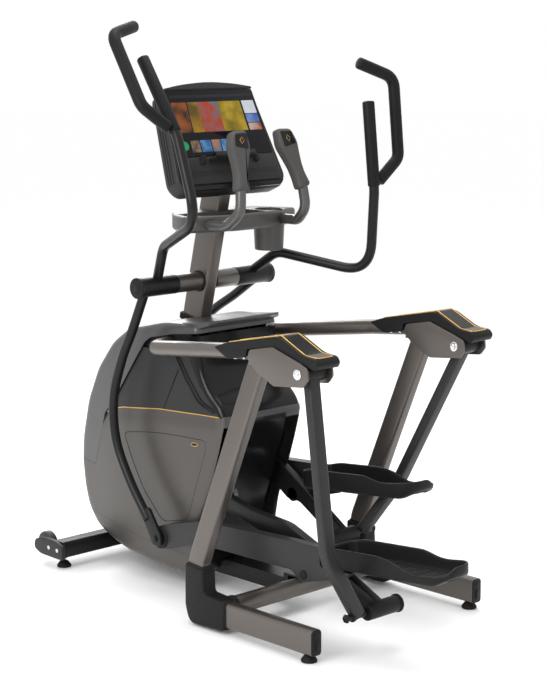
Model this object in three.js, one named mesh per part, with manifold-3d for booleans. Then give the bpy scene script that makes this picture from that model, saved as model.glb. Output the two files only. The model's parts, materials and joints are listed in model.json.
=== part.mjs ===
// Front-drive elliptical trainer: a titanium-coloured frame with a leaning mast, two rear uprights whose
// brackets carry the swing arms, two links from the swing arms to a crank inside the covers, pedals on
// the links, and two rocking handles that push the pedals' front ends.
// Millimetres, +X to the user's right, +Y towards the console, +Z up.
import * as THREE from "three";
import { mergeVertices } from "three/addons/utils/BufferGeometryUtils.js";
import Module from "manifold-3d";

const wasm = await Module();
wasm.setup();

// Driving dimensions. Y is counted from the rear ends of the legs.
const MID_Y = 520; // the middle of the footprint
const GAP = 0.3; // between pieces that touch
const STANCE = 720; // between the rear feet
const UPRIGHT_SLOPE = 0.415; // the rearward lean of an upright
const SWING_PIVOT = [47, 846];
const SWING_FOOT = [-50, 130]; // the pin at the bottom of the left swing arm
const SWING_TURN = 35.3; // degrees, from one end of the stride to the other
const LINK_SLOPE = 17.5;
const LINK_LENGTH = 712;
const LINK_TURN = 7.5;
const BARREL_AT = 238; // along the link, to the pivot under the pedal
const HANDLE_PIVOT = [870, 999];
const HANDLE_FOOT = [830, 185];
const HANDLE_TURN = 30.6;
const MAST = { width: 50, depth: 93, low: [1092, 92.3], high: [800.6, 1335] };
const COVER_HALF = 178; // half the covers' greatest width
const HUB_HALF = COVER_HALF + 104; // half the length of the handles' pivot tube
const COVER_WALL = 4;
const CONSOLE_TILT = 23.1;
const PEDAL = { inner: 95, outer: COVER_HALF + 62, heel: -375, toe: 105, bottom: 248.5, pitch: 4.3 };

const steel = (color, roughness = 0.42) =>
  new THREE.MeshStandardMaterial({ color, roughness, metalness: 0.75 });
const plastic = (color, roughness = 0.5) =>
  new THREE.MeshStandardMaterial({ color, roughness, metalness: 0 });
const titanium = () => steel(0x8a827a);
const blackTube = () => steel(0x222325, 0.38);
const armGrey = () => steel(0x3c3d3f, 0.45);
const chrome = () => new THREE.MeshStandardMaterial({ color: 0xdedede, roughness: 0.12, metalness: 1 });
const rubber = () => plastic(0x161617, 0.85);

const machine = new THREE.Group();
machine.position.y = -MID_Y;

// ---------- shapes ----------
const outline = (points) => new THREE.Shape(points.map(([a, b]) => new THREE.Vector2(a, b)));
function ring(r, n = 16, hole = 0) {
  const turn = (radius) =>
    Array.from({ length: n }, (_, i) => [
      radius * Math.cos((2 * Math.PI * i) / n),
      radius * Math.sin((2 * Math.PI * i) / n),
    ]);
  const shape = outline(turn(r));
  if (hole) shape.holes.push(outline(turn(hole)));
  return shape;
}
function rounded(w, h, r, n = 2) {
  const points = [];
  [[1, 1], [-1, 1], [-1, -1], [1, -1]].forEach(([sx, sy], corner) => {
    for (let i = 0; i <= n; i++) {
      const a = (Math.PI / 2) * (corner + i / n);
      points.push([sx * (w / 2 - r) + r * Math.cos(a), sy * (h / 2 - r) + r * Math.sin(a)]);
    }
  });
  return outline(points);
}
// A closed outline whose corners are rounded: each point is [a, b] or [a, b, radius].
function soft(points, radius = 0, n = 2) {
  const out = [];
  points.forEach((here, i) => {
    const before = points.at(i - 1), after = points[(i + 1) % points.length];
    const p = new THREE.Vector2(here[0], here[1]);
    const u = new THREE.Vector2(before[0], before[1]).sub(p);
    const v = new THREE.Vector2(after[0], after[1]).sub(p);
    const reach = Math.min(here[2] ?? radius, 0.45 * u.length(), 0.45 * v.length());
    if (reach < 0.5) return out.push([p.x, p.y]);
    const a = p.clone().addScaledVector(u.normalize(), reach);
    const b = p.clone().addScaledVector(v.normalize(), reach);
    for (const q of new THREE.QuadraticBezierCurve(a, p, b).getPoints(n)) out.push([q.x, q.y]);
  });
  return outline(out);
}

// ---------- solids ----------
// An outline in the Y-Z plane made thick from x0 to x1, with rounded edges if asked.
function sideways(shape, x0, x1, edge = 0, n = 2) {
  const g = new THREE.ExtrudeGeometry(shape, {
    depth: x1 - x0 - 2 * edge,
    bevelEnabled: edge > 0,
    bevelThickness: edge,
    bevelSize: edge,
    bevelOffset: -edge,
    bevelSegments: n,
    curveSegments: 6,
  });
  g.applyMatrix4(new THREE.Matrix4().set(0, 0, 1, x0 + edge, 1, 0, 0, 0, 0, 1, 0, 0, 0, 0, 0, 1));
  return g;
}
// An outline in the X-Y plane made thick from z0 to z1.
function upward(shape, z0, z1, edge = 0, n = 2) {
  const g = new THREE.ExtrudeGeometry(shape, {
    depth: z1 - z0 - 2 * edge,
    bevelEnabled: edge > 0,
    bevelThickness: edge,
    bevelSize: edge,
    bevelOffset: -edge,
    bevelSegments: n,
    curveSegments: 6,
  });
  return g.translate(0, 0, z0 + edge);
}
const box = (x0, x1, y0, y1, z0, z1) =>
  new THREE.BoxGeometry(x1 - x0, y1 - y0, z1 - z0).translate((x0 + x1) / 2, (y0 + y1) / 2, (z0 + z1) / 2);
const rod = (r, x0, x1, [y, z], n = 18) =>
  new THREE.CylinderGeometry(r, r, x1 - x0, n).rotateZ(Math.PI / 2).translate((x0 + x1) / 2, y, z);

// A path of straight runs joined by round bends.
class BentPath extends THREE.Curve {
  constructor(corners, bend, n = 4) {
    super();
    const at = corners.map((c) => new THREE.Vector3(c[0], c[1], c[2]));
    this.stops = [at[0]];
    for (let i = 1; i < at.length - 1; i++) {
      const u = at[i - 1].clone().sub(at[i]), v = at[i + 1].clone().sub(at[i]);
      const half = u.angleTo(v) / 2;
      const reach = Math.min((corners[i][3] ?? bend) / Math.tan(half), 0.49 * u.length(), 0.49 * v.length());
      const a = at[i].clone().addScaledVector(u.normalize(), reach);
      const b = at[i].clone().addScaledVector(v.normalize(), reach);
      const steps = Math.max(2, Math.ceil((n * (Math.PI - 2 * half)) / (Math.PI / 2)));
      this.stops.push(...new THREE.QuadraticBezierCurve3(a, at[i], b).getPoints(steps));
    }
    this.stops.push(at.at(-1));
  }
  get steps() { return this.stops.length - 1; }
  getPoint(t) { return this.stops[Math.round(t * this.steps)].clone(); }
  getPointAt(u) { return this.getPoint(u); }
  getTangentAt(u) {
    const i = Math.round(u * this.steps);
    const a = this.stops[Math.max(0, i - 1)], b = this.stops[i], c = this.stops[Math.min(this.steps, i + 1)];
    const t = new THREE.Vector3();
    if (a !== b) t.add(b.clone().sub(a).normalize());
    if (c !== b) t.add(c.clone().sub(b).normalize());
    return t.normalize();
  }
}
const along = (path, shape, steps = path.steps) =>
  new THREE.ExtrudeGeometry(shape, { steps, extrudePath: path, bevelEnabled: false, curveSegments: 1 });

// Joins and cuts.
function solid(g) {
  const bare = new THREE.BufferGeometry().setAttribute("position", g.getAttribute("position").clone());
  if (g.index) bare.setIndex(g.index.clone());
  const merged = mergeVertices(bare, 1e-3);
  const all = merged.index.array, kept = [];
  for (let i = 0; i < all.length; i += 3) {
    const [a, b, c] = [all[i], all[i + 1], all[i + 2]];
    if (a !== b && b !== c && c !== a) kept.push(a, b, c);
  }
  return new wasm.Manifold(
    new wasm.Mesh({
      numProp: 3,
      vertProperties: Float32Array.from(merged.attributes.position.array),
      triVerts: Uint32Array.from(kept),
    }),
  );
}
function surface(s) {
  const m = s.getMesh();
  const g = new THREE.BufferGeometry().setAttribute("position", new THREE.BufferAttribute(m.vertProperties, 3));
  return g.setIndex(new THREE.BufferAttribute(m.triVerts, 1));
}
const join = (...parts) => surface(parts.map(solid).reduce((a, b) => a.add(b)));
const cut = (from, ...tools) => surface(tools.map(solid).reduce((a, b) => a.subtract(b), solid(from)));
const common = (a, b) => surface(solid(a).intersect(solid(b)));

// ---------- placing ----------
function add(name, geometry, material) {
  const mesh = new THREE.Mesh(geometry, material);
  mesh.name = name;
  machine.add(mesh);
}
// The same piece on the other side: mirroring turns its faces inside out, so each triangle is turned back.
function mirrored(g) {
  const m = mergeVertices(surface(solid(g)), 1e-3).scale(-1, 1, 1);
  const faces = m.index.array;
  for (let i = 0; i < faces.length; i += 3) [faces[i + 1], faces[i + 2]] = [faces[i + 2], faces[i + 1]];
  return m;
}
// Turns a piece about a sideways line through `from` and carries that line to `to`.
function turned(g, from, degrees, to = from) {
  return g.clone()
    .translate(0, -from[0], -from[1])
    .rotateX(THREE.MathUtils.degToRad(degrees))
    .translate(0, to[0], to[1]);
}
// Pieces are drawn on the right side (x > 0) and copied to the left.
function pair(name, geometry, material) {
  add(name + "_R", geometry, material());
  add(name + "_L", mirrored(geometry), material());
}

// ---------- the linkage at both ends of the stride ----------
const spin = (p, about, degrees) => {
  const a = THREE.MathUtils.degToRad(degrees), y = p[0] - about[0], z = p[1] - about[1];
  return [about[0] + y * Math.cos(a) - z * Math.sin(a), about[1] + y * Math.sin(a) + z * Math.cos(a)];
};
const ray = (from, length, degrees) => {
  const a = THREE.MathUtils.degToRad(degrees);
  return [from[0] + length * Math.cos(a), from[1] + length * Math.sin(a)];
};
const swingFoot = { L: SWING_FOOT, R: spin(SWING_FOOT, SWING_PIVOT, SWING_TURN) };
const barrel = {
  L: ray(swingFoot.L, BARREL_AT, LINK_SLOPE),
  R: ray(swingFoot.R, BARREL_AT, LINK_SLOPE + LINK_TURN),
};
const eye = {
  L: ray(swingFoot.L, LINK_LENGTH, LINK_SLOPE),
  R: ray(swingFoot.R, LINK_LENGTH, LINK_SLOPE + LINK_TURN),
};
const handleFoot = { L: HANDLE_FOOT, R: spin(HANDLE_FOOT, HANDLE_PIVOT, HANDLE_TURN) };
const CRANK = [(eye.L[0] + eye.R[0]) / 2, (eye.L[1] + eye.R[1]) / 2];
const slope = (a, b) => THREE.MathUtils.radToDeg(Math.atan2(b[1] - a[1], b[0] - a[0]));
const PEDAL_TURN = slope(barrel.R, handleFoot.R) - slope(barrel.L, handleFoot.L);

// ---------- base, legs and uprights ----------
const LEG_X = STANCE / 2;
const legAxis = 62;
const footHole = (x, y, z0, z1) =>
  new THREE.CylinderGeometry(6.3, 6.3, z1 - z0, 12).rotateX(Math.PI / 2).translate(x, y, (z0 + z1) / 2);
const legBar = along(
  new BentPath([[LEG_X, 0, legAxis], [LEG_X, 455, legAxis]], 0),
  rounded(78, 40, 10),
);
pair("leg", cut(legBar, footHole(LEG_X, 29, 10, 50)), titanium);

const uprightTop = 848;
const bendZ = 205, bendY = 500;
const uprightPath = new BentPath(
  [
    [LEG_X, bendY + 3, 101.6], [LEG_X, bendY, bendZ, 60],
    [LEG_X, bendY - (uprightTop - bendZ) * UPRIGHT_SLOPE, uprightTop],
  ],
  60,
);
const uprightBar = along(uprightPath, rounded(40, 66, 9));
pair("upright", common(uprightBar, box(LEG_X - 30, LEG_X + 30, 180, 560, 102, uprightTop)), titanium);

const crossY = 392, crossZ = 76;
const crossTube = rod(29, -(LEG_X - 20 - GAP), LEG_X - 20 - GAP, [crossY, crossZ], 20);
add("cross_tube", cut(crossTube, box(-51, 51, 362, 470, 91.7, 120)), titanium());

const bootShape = soft(
  [[368, 12], [364, 106], [455, 112], [459, 184], [540, 196], [541, 60], [522, 6, 34]],
  8,
);
const bootBlock = sideways(bootShape, LEG_X - 26, LEG_X + 26);
pair(
  "boot",
  cut(
    bootBlock,
    along(
      new BentPath([[LEG_X, -10, legAxis], [LEG_X, 455 + GAP, legAxis]], 0),
      rounded(78 + 2 * GAP, 40 + 2 * GAP, 10),
    ),
    cut(
      along(uprightPath, rounded(40 + 2 * GAP, 66 + 2 * GAP, 9)),
      box(LEG_X - 30, LEG_X + 30, 400, 600, 90, 101.7),
    ),
    rod(29 + GAP, 300, LEG_X - 20, [crossY, crossZ], 20),
  ),
  () => plastic(0x1b1b1c, 0.45),
);

// ---------- levelling feet ----------
const footShape = [[0, 0], [24, 0], [24, 8], [15, 20], [6, 22.7], [6, 40], [0, 40]];
function levelFoot(x, y) {
  return new THREE.LatheGeometry(footShape.map(([r, z]) => new THREE.Vector2(r, z)), 14)
    .rotateX(Math.PI / 2)
    .translate(x, y, 0);
}
pair("rear_foot", levelFoot(LEG_X, 29), rubber);
const STAB = { y: 1287, half: 300, z0: 38, z1: 93 };
pair("front_foot", levelFoot(289 - 12, STAB.y), rubber);

// ---------- front stabiliser, its end caps and the transport wheels ----------
const stabShape = soft([[1250, 40], [1250, 80], [1262, 93], [1308, 93], [1326, 80], [1326, 40]], 5, 2);
const stabBar = sideways(stabShape, -STAB.half, STAB.half);
add(
  "front_stabiliser",
  cut(stabBar, footHole(277, STAB.y, 23, 60), footHole(-277, STAB.y, 23, 60)),
  steel(0x1c1c1d, 0.4),
);
const WHEEL = [1374, 66];
const capShape = soft(
  [[1248, 34, 6], [1248, 82, 6], [1300, 98, 20], [1362, 96, 26], [1400, 82, 26], [1404, 52, 22], [1370, 36, 20]],
  10,
);
pair(
  "stabiliser_cap",
  join(sideways(capShape, STAB.half + GAP, STAB.half + 16, 3), rod(9, 252, STAB.half + 5, WHEEL, 16)),
  () => plastic(0x2b2b2c, 0.5),
);
pair("transport_wheel", cut(rod(41, 262, 292, WHEEL, 24), rod(9.4, 250, 296, WHEEL, 16)), rubber);

// ---------- main frame inside the covers ----------
const AXLE_X = COVER_HALF - 60;
const railTop = 92;
const cheek = soft(
  [
    [CRANK[0] - 85, railTop], [CRANK[0] - 42, CRANK[1] + 42, 30], [CRANK[0] + 42, CRANK[1] + 42, 30],
    [CRANK[0] + 95, railTop],
  ],
);
const FLYWHEEL = [1200, 330];
const flyCheek = soft([[1146, railTop], [1178, 356, 18], [1222, 356, 18], [1240, railTop]]);
const mainFrame = join(
  box(-40, 40, 425, 1249.7, 42, railTop),
  box(-50, 50, 363, 450, 106, 112),
  box(-50, -44, 430, 450, 60, 108),
  box(44, 50, 430, 450, 60, 108),
  box(-48, 48, 430, 450, 60, 108),
  box(34 - AXLE_X, AXLE_X - 34, CRANK[0] - 85, CRANK[0] + 95, 84, railTop),
  box(12, 84, 1146, 1240, 84, railTop),
  sideways(cheek, AXLE_X - 44, AXLE_X - 36),
  sideways(cheek, 36 - AXLE_X, 44 - AXLE_X),
  sideways(flyCheek, 74, 82),
  sideways(flyCheek, 12, 20),
  rod(8, 14, 80, FLYWHEEL, 16),
);
add(
  "main_frame",
  cut(mainFrame, rod(15.5, -AXLE_X - 2, AXLE_X + 2, CRANK), rod(29 + GAP, -60, 60, [crossY, crossZ], 20)),
  steel(0x202122, 0.5),
);

// ---------- mast with the handles' pivot tube ----------
const lean = Math.atan2(MAST.low[0] - MAST.high[0], MAST.high[1] - MAST.low[1]);
const across = MAST.depth / 2 / Math.cos(lean);
const mastShape = outline([
  [MAST.low[0] - across, MAST.low[1] + GAP],
  [MAST.low[0] + across, MAST.low[1] + GAP],
  [MAST.high[0] + across, MAST.high[1]],
  [MAST.high[0] - across, MAST.high[1]],
]);
add(
  "mast",
  join(
    sideways(mastShape, -MAST.width / 2, MAST.width / 2, 7),
    rod(30, -130, 130, HANDLE_PIVOT, 20),
    rod(18, -HUB_HALF - 5, HUB_HALF + 5, HANDLE_PIVOT, 14),
    rod(33, HUB_HALF, HUB_HALF + 8, HANDLE_PIVOT, 20),
    rod(33, -HUB_HALF - 8, -HUB_HALF, HANDLE_PIVOT, 20),
  ),
  titanium(),
);

// ---------- rear brackets, axle bolts, shoulder covers and handrails ----------
const plateShape = soft(
  [[255, 866], [245, 893], [150, 912], [60, 885], [10, 868], [6, 834], [25, 811], [145, 799], [215, 832]],
  7, 2,
);
const INNER_PLATE = LEG_X - 74, OUTER_PLATE = LEG_X + 26, PLATE = 6;
const bridge = [[158, uprightTop + GAP], [250, uprightTop + GAP], [250, 890], [150, 898]];
const bracket = join(
  sideways(plateShape, INNER_PLATE, INNER_PLATE + PLATE),
  sideways(plateShape, OUTER_PLATE, OUTER_PLATE + PLATE),
  sideways(outline(bridge), INNER_PLATE + 2, OUTER_PLATE + 2),
);
pair("bracket", cut(bracket, rod(8.3, INNER_PLATE - 16, OUTER_PLATE + 24, SWING_PIVOT, 16)), titanium);
pair(
  "axle_bolt",
  join(
    rod(8, INNER_PLATE - 12, OUTER_PLATE + PLATE + 8, SWING_PIVOT, 16),
    rod(15, OUTER_PLATE + PLATE + GAP, OUTER_PLATE + PLATE + 10, SWING_PIVOT, 16),
    rod(15, INNER_PLATE - 12, INNER_PLATE - GAP, SWING_PIVOT, 16),
  ),
  chrome,
);
const shoulderShape = soft(
  [
    [404, 882, 8], [352, 900, 20], [131, 945, 20], [36, 900, 16], [-14, 896, 10], [-26, 880, 10], [-16, 862, 8],
    [4, 867, 10], [52, 882, 10], [150, 908, 10], [262, 897, 8], [266, 872, 8], [345, 856, 16],
  ],
  6,
);
const railPath = new BentPath(
  [[LEG_X - 27, 240, 878], [LEG_X - 38, 420, 861], [COVER_HALF + 84, 822, 812, 60], [25.4, 893, 812]],
  200,
);
pair(
  "shoulder_cover",
  cut(
    sideways(shoulderShape, INNER_PLATE + PLATE + GAP, OUTER_PLATE - GAP),
    along(railPath, ring(24 + GAP, 12)),
  ),
  () => plastic(0x222223, 0.4),
);
const handrail = cut(
  along(railPath, ring(24, 12)),
  box(-60, 25.4, 800, 1000, 760, 860),
  box(LEG_X - 80, LEG_X + 40, 200, 250.4, 800, 920),
);
pair("handrail", handrail, titanium);

// ---------- swing arms ----------
const SWING_X = LEG_X - 21;
const swingPath = new BentPath(
  [
    [SWING_X, SWING_PIVOT[0], SWING_PIVOT[1]], [SWING_X - 7, -17, 310, 130],
    [COVER_HALF + 62, SWING_FOOT[0], SWING_FOOT[1]],
  ],
  130, 8,
);
const swingArm = cut(
  join(
    along(swingPath, rounded(32, 43, 6, 2)),
    rod(27, SWING_X - 40, SWING_X + 40, SWING_PIVOT, 16),
    rod(10, 72, COVER_HALF + 114, SWING_FOOT, 16),
    rod(22, COVER_HALF + 40, COVER_HALF + 84, SWING_FOOT, 20),
  ),
  rod(8.4, SWING_X - 59, SWING_X + 61, SWING_PIVOT, 16),
);
add("swing_arm_L", mirrored(swingArm), armGrey());
add("swing_arm_R", turned(swingArm, SWING_PIVOT, SWING_TURN), armGrey());

// ---------- links ----------
const LINK_IN = COVER_HALF - 44, LINK_OUT = COVER_HALF - 12;
const [fy, fz] = SWING_FOOT, [by, bz] = barrel.L, [ey, ez] = eye.L;
const linkShape = soft(
  [
    [fy - 24, fz - 8], [fy - 14, fz + 20], [140, 246], [320, 316], [480, 330], [ey + 20, ez + 26], [ey + 30, ez],
    [ey + 18, ez - 26], [470, 278], [by + 50, bz - 6], [by + 16, bz - 24], [by - 30, bz - 14], [fy + 10, fz - 24],
  ],
  16,
);
const link = cut(
  join(
    sideways(linkShape, LINK_IN, LINK_OUT),
    rod(25, 66, COVER_HALF + 27, SWING_FOOT, 16),
    rod(24, LINK_IN, COVER_HALF + 19, barrel.L, 16),
    rod(26, LINK_IN - 2.5, LINK_OUT, eye.L, 16),
  ),
  rod(10.35, 50, COVER_HALF + 42, SWING_FOOT, 16),
  rod(9.35, LINK_OUT - 16, COVER_HALF + 22, barrel.L, 16),
);
add("link_L", mirrored(link), steel(0x1d1e1f, 0.4));
add("link_R", turned(link, SWING_FOOT, LINK_TURN, swingFoot.R), steel(0x1d1e1f, 0.4));

// ---------- pedal arms, trays and mats ----------
const ARM_IN = COVER_HALF + 22, ARM_OUT = ARM_IN + 36;
const [hy, hz] = HANDLE_FOOT;
const pedalArmShape = soft(
  [
    [hy + 38, hz - 6], [hy + 28, hz + 30], [hy - 30, 234], [646, 275, 60], [530, 283, 60], [PEDAL.toe + 4, 300],
    [PEDAL.toe + 4, 239], [-20, 246], [20, 220], [by - 34, bz - 14], [by + 10, bz - 27], [by + 50, 206],
    [557, 203, 60], [665, 196, 60], [hy - 42, hz - 30], [hy + 8, hz - 38],
  ],
  12,
);
const pedalArm = join(
  sideways(pedalArmShape, ARM_IN, ARM_OUT),
  rod(36, ARM_IN - 4, ARM_OUT + 5.5, HANDLE_FOOT, 16),
  rod(9, LINK_OUT - 14, ARM_IN + 10, barrel.L, 16),
);
const pitched = (g) => turned(g, [0, PEDAL.bottom], -PEDAL.pitch);
const trayPlan = soft(
  [
    [PEDAL.inner, PEDAL.heel, 70], [PEDAL.outer, PEDAL.heel, 70],
    [PEDAL.outer, PEDAL.toe, 16], [PEDAL.inner, PEDAL.toe, 40],
  ],
  0, 5,
);
const traySide = soft(
  [
    [PEDAL.toe + 5, 248], [PEDAL.toe + 5, 306], [60, 313, 30], [-190, 313, 40], [-262, 294, 30], [-340, 298, 30],
    [PEDAL.heel - 5, 301], [PEDAL.heel - 5, 268, 10], [-330, 248, 30],
  ],
  0, 4,
);
const pocketPlan = soft(
  [
    [PEDAL.inner + 9, PEDAL.heel + 10, 62], [PEDAL.outer - 9, PEDAL.heel + 10, 62],
    [PEDAL.outer - 9, PEDAL.toe - 9, 10], [PEDAL.inner + 9, PEDAL.toe - 9, 32],
  ],
  0, 5,
);
const matPlan = soft(
  [
    [PEDAL.inner + 13, PEDAL.heel + 14, 58], [PEDAL.outer - 13, PEDAL.heel + 14, 58],
    [PEDAL.outer - 13, PEDAL.toe - 13, 8], [PEDAL.inner + 13, PEDAL.toe - 13, 28],
  ],
  0, 5,
);
const tray = pitched(
  cut(
    common(upward(trayPlan, PEDAL.bottom, 330, 4), sideways(traySide, 80, PEDAL.outer + 20)),
    upward(pocketPlan, PEDAL.bottom + 13, 345),
  ),
);
const mat = pitched(upward(matPlan, PEDAL.bottom + 13 + GAP, PEDAL.bottom + 18, 1, 1));
const armClear = cut(pedalArm, pitched(box(60, ARM_OUT + 64, -400, PEDAL.toe + 2, PEDAL.bottom - GAP, 400)));
for (const [name, g, look] of [
  ["pedal_arm", armClear, armGrey],
  ["pedal_tray", tray, () => plastic(0x242526, 0.5)],
  ["pedal_mat", mat, rubber],
]) {
  add(name + "_L", mirrored(g), look());
  add(name + "_R", turned(g, barrel.L, PEDAL_TURN, barrel.R), look());
}

// ---------- rocking handles ----------
const sleeve = cut(
  rod(31, 130 + GAP, HUB_HALF - GAP, HANDLE_PIVOT, 20),
  rod(18.6, 100, HUB_HALF + 18, HANDLE_PIVOT, 14),
);
const lowerCurve = new THREE.CatmullRomCurve3(
  [[880, 975], [935, 862], [996, 748], [1040, 615], [1030, 478], [962, 352], [872, 240]].map(
    ([y, z]) => new THREE.Vector3(ARM_OUT + 14, y, z),
  ),
);
const lowerEnd = soft(
  [[hy - 28, hz + 6], [hy - 20, hz - 22], [hy + 16, hz - 24], [hy + 28, hz], [906, 262], [868, 284]],
  14,
);
const handleLower = join(
  sleeve,
  cut(along(lowerCurve, ring(15.5, 10), 12), rod(25, 100, HUB_HALF + 18, HANDLE_PIVOT, 20)),
  sideways(lowerEnd, ARM_OUT + 7, ARM_OUT + 21, 2),
);
const BRANCH = [[338, 646, 1511], [423, 676, 1580, 34], [414, 820, 1790, 40], [285, 872, 1815]];
const POST = [[321, 632, 1487], [315, 797, 1719]];
const upperPath = new BentPath(
  [[203, 872, 1010], [221, 817, 1130, 55], [341, 524, 1238, 75], [321, 632, 1487, 150], [316, 785, 1702]],
  60, 4,
);
const handleUpper = join(
  cut(along(upperPath, ring(16, 10)), rod(31 + GAP, 100, HUB_HALF + 18, HANDLE_PIVOT, 20)),
  along(new BentPath([BRANCH[0], BRANCH[1], BRANCH[2], [297, 867, 1812.7]], 40, 4), ring(15, 10)),
);
const grip = cut(
  join(
    along(new BentPath([[320.6, 641, 1500], POST[1]], 0), ring(19.5, 12)),
    along(new BentPath([[346, 649, 1517.5], BRANCH[1], BRANCH[2], BRANCH[3]], 40, 4), ring(19, 12)),
  ),
  along(new BentPath([[322, 627, 1476], [321, 632, 1487, 150], [316, 785, 1702.5]], 150, 4), ring(17, 10)),
  along(new BentPath([[330, 643, 1504.5], BRANCH[1], BRANCH[2], [296.5, 867.2, 1812.8]], 40, 4), ring(15.8, 10)),
);
for (const [name, g, look] of [
  ["handle_lower", handleLower, blackTube],
  ["handle_upper", handleUpper, blackTube],
  ["handle_grip", grip, rubber],
]) {
  add(name + "_L", mirrored(g), look());
  add(name + "_R", turned(g, HANDLE_PIVOT, HANDLE_TURN), look());
}

// ---------- crank, flywheel and belt ----------
const arm = (to) => {
  const length = Math.hypot(to[0] - CRANK[0], to[1] - CRANK[1]);
  const g = join(
    rod(30, AXLE_X - 18, AXLE_X, [0, 0], 16),
    rod(24, AXLE_X - 18, AXLE_X, [length, 0], 20),
    sideways(outline([[0, -26], [length, -20], [length, 20], [0, 26]]), AXLE_X - 17, AXLE_X - 1),
    rod(12, AXLE_X - 8, LINK_IN - 4, [length, 0], 16),
  );
  return turned(g, [0, 0], slope(CRANK, to), CRANK);
};
const PULLEY_R = 150, SMALL_R = 32;
add(
  "crankset",
  join(
    rod(15, -AXLE_X + 2, AXLE_X - 2, CRANK, 16),
    mirrored(arm(eye.L)),
    arm(eye.R),
    rod(38, 30, 60, CRANK, 16),
    rod(PULLEY_R, 36, 50, CRANK, 28),
  ),
  steel(0x2a2b2c, 0.45),
);
add(
  "flywheel",
  cut(
    join(rod(112, 54, 68, FLYWHEEL, 28), rod(SMALL_R, 34, 56, FLYWHEEL, 16), rod(20, 26, 70, FLYWHEEL, 20)),
    rod(8.4, 0, 100, FLYWHEEL, 16),
  ),
  steel(0x55565a, 0.35),
);
const loop = (extra) => {
  const points = [];
  const gap = [FLYWHEEL[0] - CRANK[0], FLYWHEEL[1] - CRANK[1]];
  const reach = Math.hypot(...gap), base = Math.atan2(gap[1], gap[0]);
  const wrap = Math.acos((PULLEY_R - SMALL_R) / reach);
  for (let i = 0; i <= 20; i++) {
    const a = base + wrap + ((2 * Math.PI - 2 * wrap) * i) / 20;
    points.push([CRANK[0] + (PULLEY_R + extra) * Math.cos(a), CRANK[1] + (PULLEY_R + extra) * Math.sin(a)]);
  }
  for (let i = 0; i <= 10; i++) {
    const a = base - wrap + (2 * wrap * i) / 10;
    points.push([FLYWHEEL[0] + (SMALL_R + extra) * Math.cos(a), FLYWHEEL[1] + (SMALL_R + extra) * Math.sin(a)]);
  }
  return outline(points);
};
add("belt", cut(sideways(loop(3.5), 37, 49), sideways(loop(0.8), 30, 60)), rubber());

// ---------- covers ----------
// One rounded body, hollowed, then divided along its seams.
const coverSide = [
  [742, 58], [712, 170], [690, 280], [646, 390], [612, 490], [584, 588], [604, 632], [656, 676], [692, 740],
  [706, 806], [712, 888], [880, 880], [1060, 838], [1150, 782], [1244, 684], [1312, 565], [1352, 430], [1360, 345],
  [1344, 250], [1318, 183], [1262, 128], [1180, 100], [1069, 76], [912, 64],
];
const coverPlan = (inset) =>
  soft(
    [
      [COVER_HALF - 8 - inset, 540 + inset], [COVER_HALF - inset, 760], [COVER_HALF - inset, 1080, 120],
      [COVER_HALF - 40 - inset, 1375 - inset, 90], [-COVER_HALF + 40 + inset, 1375 - inset, 90],
      [-COVER_HALF + inset, 1080, 120], [-COVER_HALF + inset, 760], [-COVER_HALF + 8 + inset, 540 + inset],
    ],
    40, 5,
  );
const shell = (inset) => {
  const side = outline(coverSide);
  const g = new THREE.ExtrudeGeometry(side, {
    depth: 2 * (COVER_HALF - 22 - inset),
    bevelThickness: 22, bevelSize: 22, bevelOffset: -22 - inset, bevelSegments: 2, curveSegments: 1,
  });
  const reach = COVER_HALF - 22 - inset;
  g.applyMatrix4(new THREE.Matrix4().set(0, 0, 1, -reach, 1, 0, 0, 0, 0, 1, 0, 0, 0, 0, 0, 1));
  return common(g, upward(coverPlan(inset), 0, 1000));
};
const coverOuter = shell(0), coverInner = shell(COVER_WALL);
const wholeCover = cut(coverOuter, coverInner);

const topSeam = [[500, 606.5], [540, 604.5], [713, 599], [900, 590], [1095, 567], [1166, 550], [1196, 532]];
const archInner = [
  [1400, 350], [1343, 350], [1262, 345], [1196, 532], [1124, 605], [1093, 643], [967, 803], [938, 822], [825, 846],
  [600, 872],
];
const archRegion = outline([...archInner, [600, 1000], [1450, 1000], [1450, 350]]);
const rearRegion = outline([
  [400, 607.5], [572, 605.1], [612, 603.1], [700, 690], [742, 760], [756, 846], [600, 863], [400, 880],
]);
const skirtLine = [[1500, 180], [1210, 170], [1018, 144], [880, 132], [640, 128]];
const full = (shape) => sideways(shape, -300, 300);
const moved = (points, dy, dz) => points.map(([y, z]) => [y + dy, z + dz]);
const railHoles = join(along(railPath, ring(29, 12)), mirrored(along(railPath, ring(29, 12))));
const mastHole = sideways(
  outline([
    [MAST.low[0] - across - GAP, MAST.low[1]], [MAST.low[0] + across + GAP, MAST.low[1]],
    [MAST.high[0] + across + GAP, MAST.high[1]], [MAST.high[0] - across - GAP, MAST.high[1]],
  ]),
  -MAST.width / 2 - GAP, MAST.width / 2 + GAP,
);
// The links pass through a slot on each side of a middle strip, and the bottom is open.
const SPINE = AXLE_X - 22, SLOT = COVER_HALF - 10;
const openCover = cut(
  wholeCover,
  railHoles,
  mastHole,
  box(-150, 150, 800, 1244, 0, 140),
  box(-52, 52, 300, 1245, 30, 98),
);
add("cover_front", common(openCover, full(archRegion)), plastic(0x6d6c6a, 0.38));
add(
  "cover_rear",
  join(common(openCover, full(rearRegion)), common(openCover, box(-SPINE, SPINE, 400, 752, 53, 620))),
  plastic(0x1d1e1f, 0.38),
);
const sideWalls = cut(openCover, box(-SLOT, SLOT, 400, 753, 0, 603.5));
const lowerRegion = outline([
  ...moved(topSeam, 0, -0.6), [1261, 344], [1342, 349.4], [1500, 349.4], ...moved(skirtLine, 0, 0.5), [500, 128.5],
]);
const upperRegion = outline([...topSeam.slice(0, -1), [1194, 534], ...moved(archInner.slice(4), -1, -1), [500, 883]]);
const half = box(0.25, 300, 300, 1500, 0, 1000);
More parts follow.
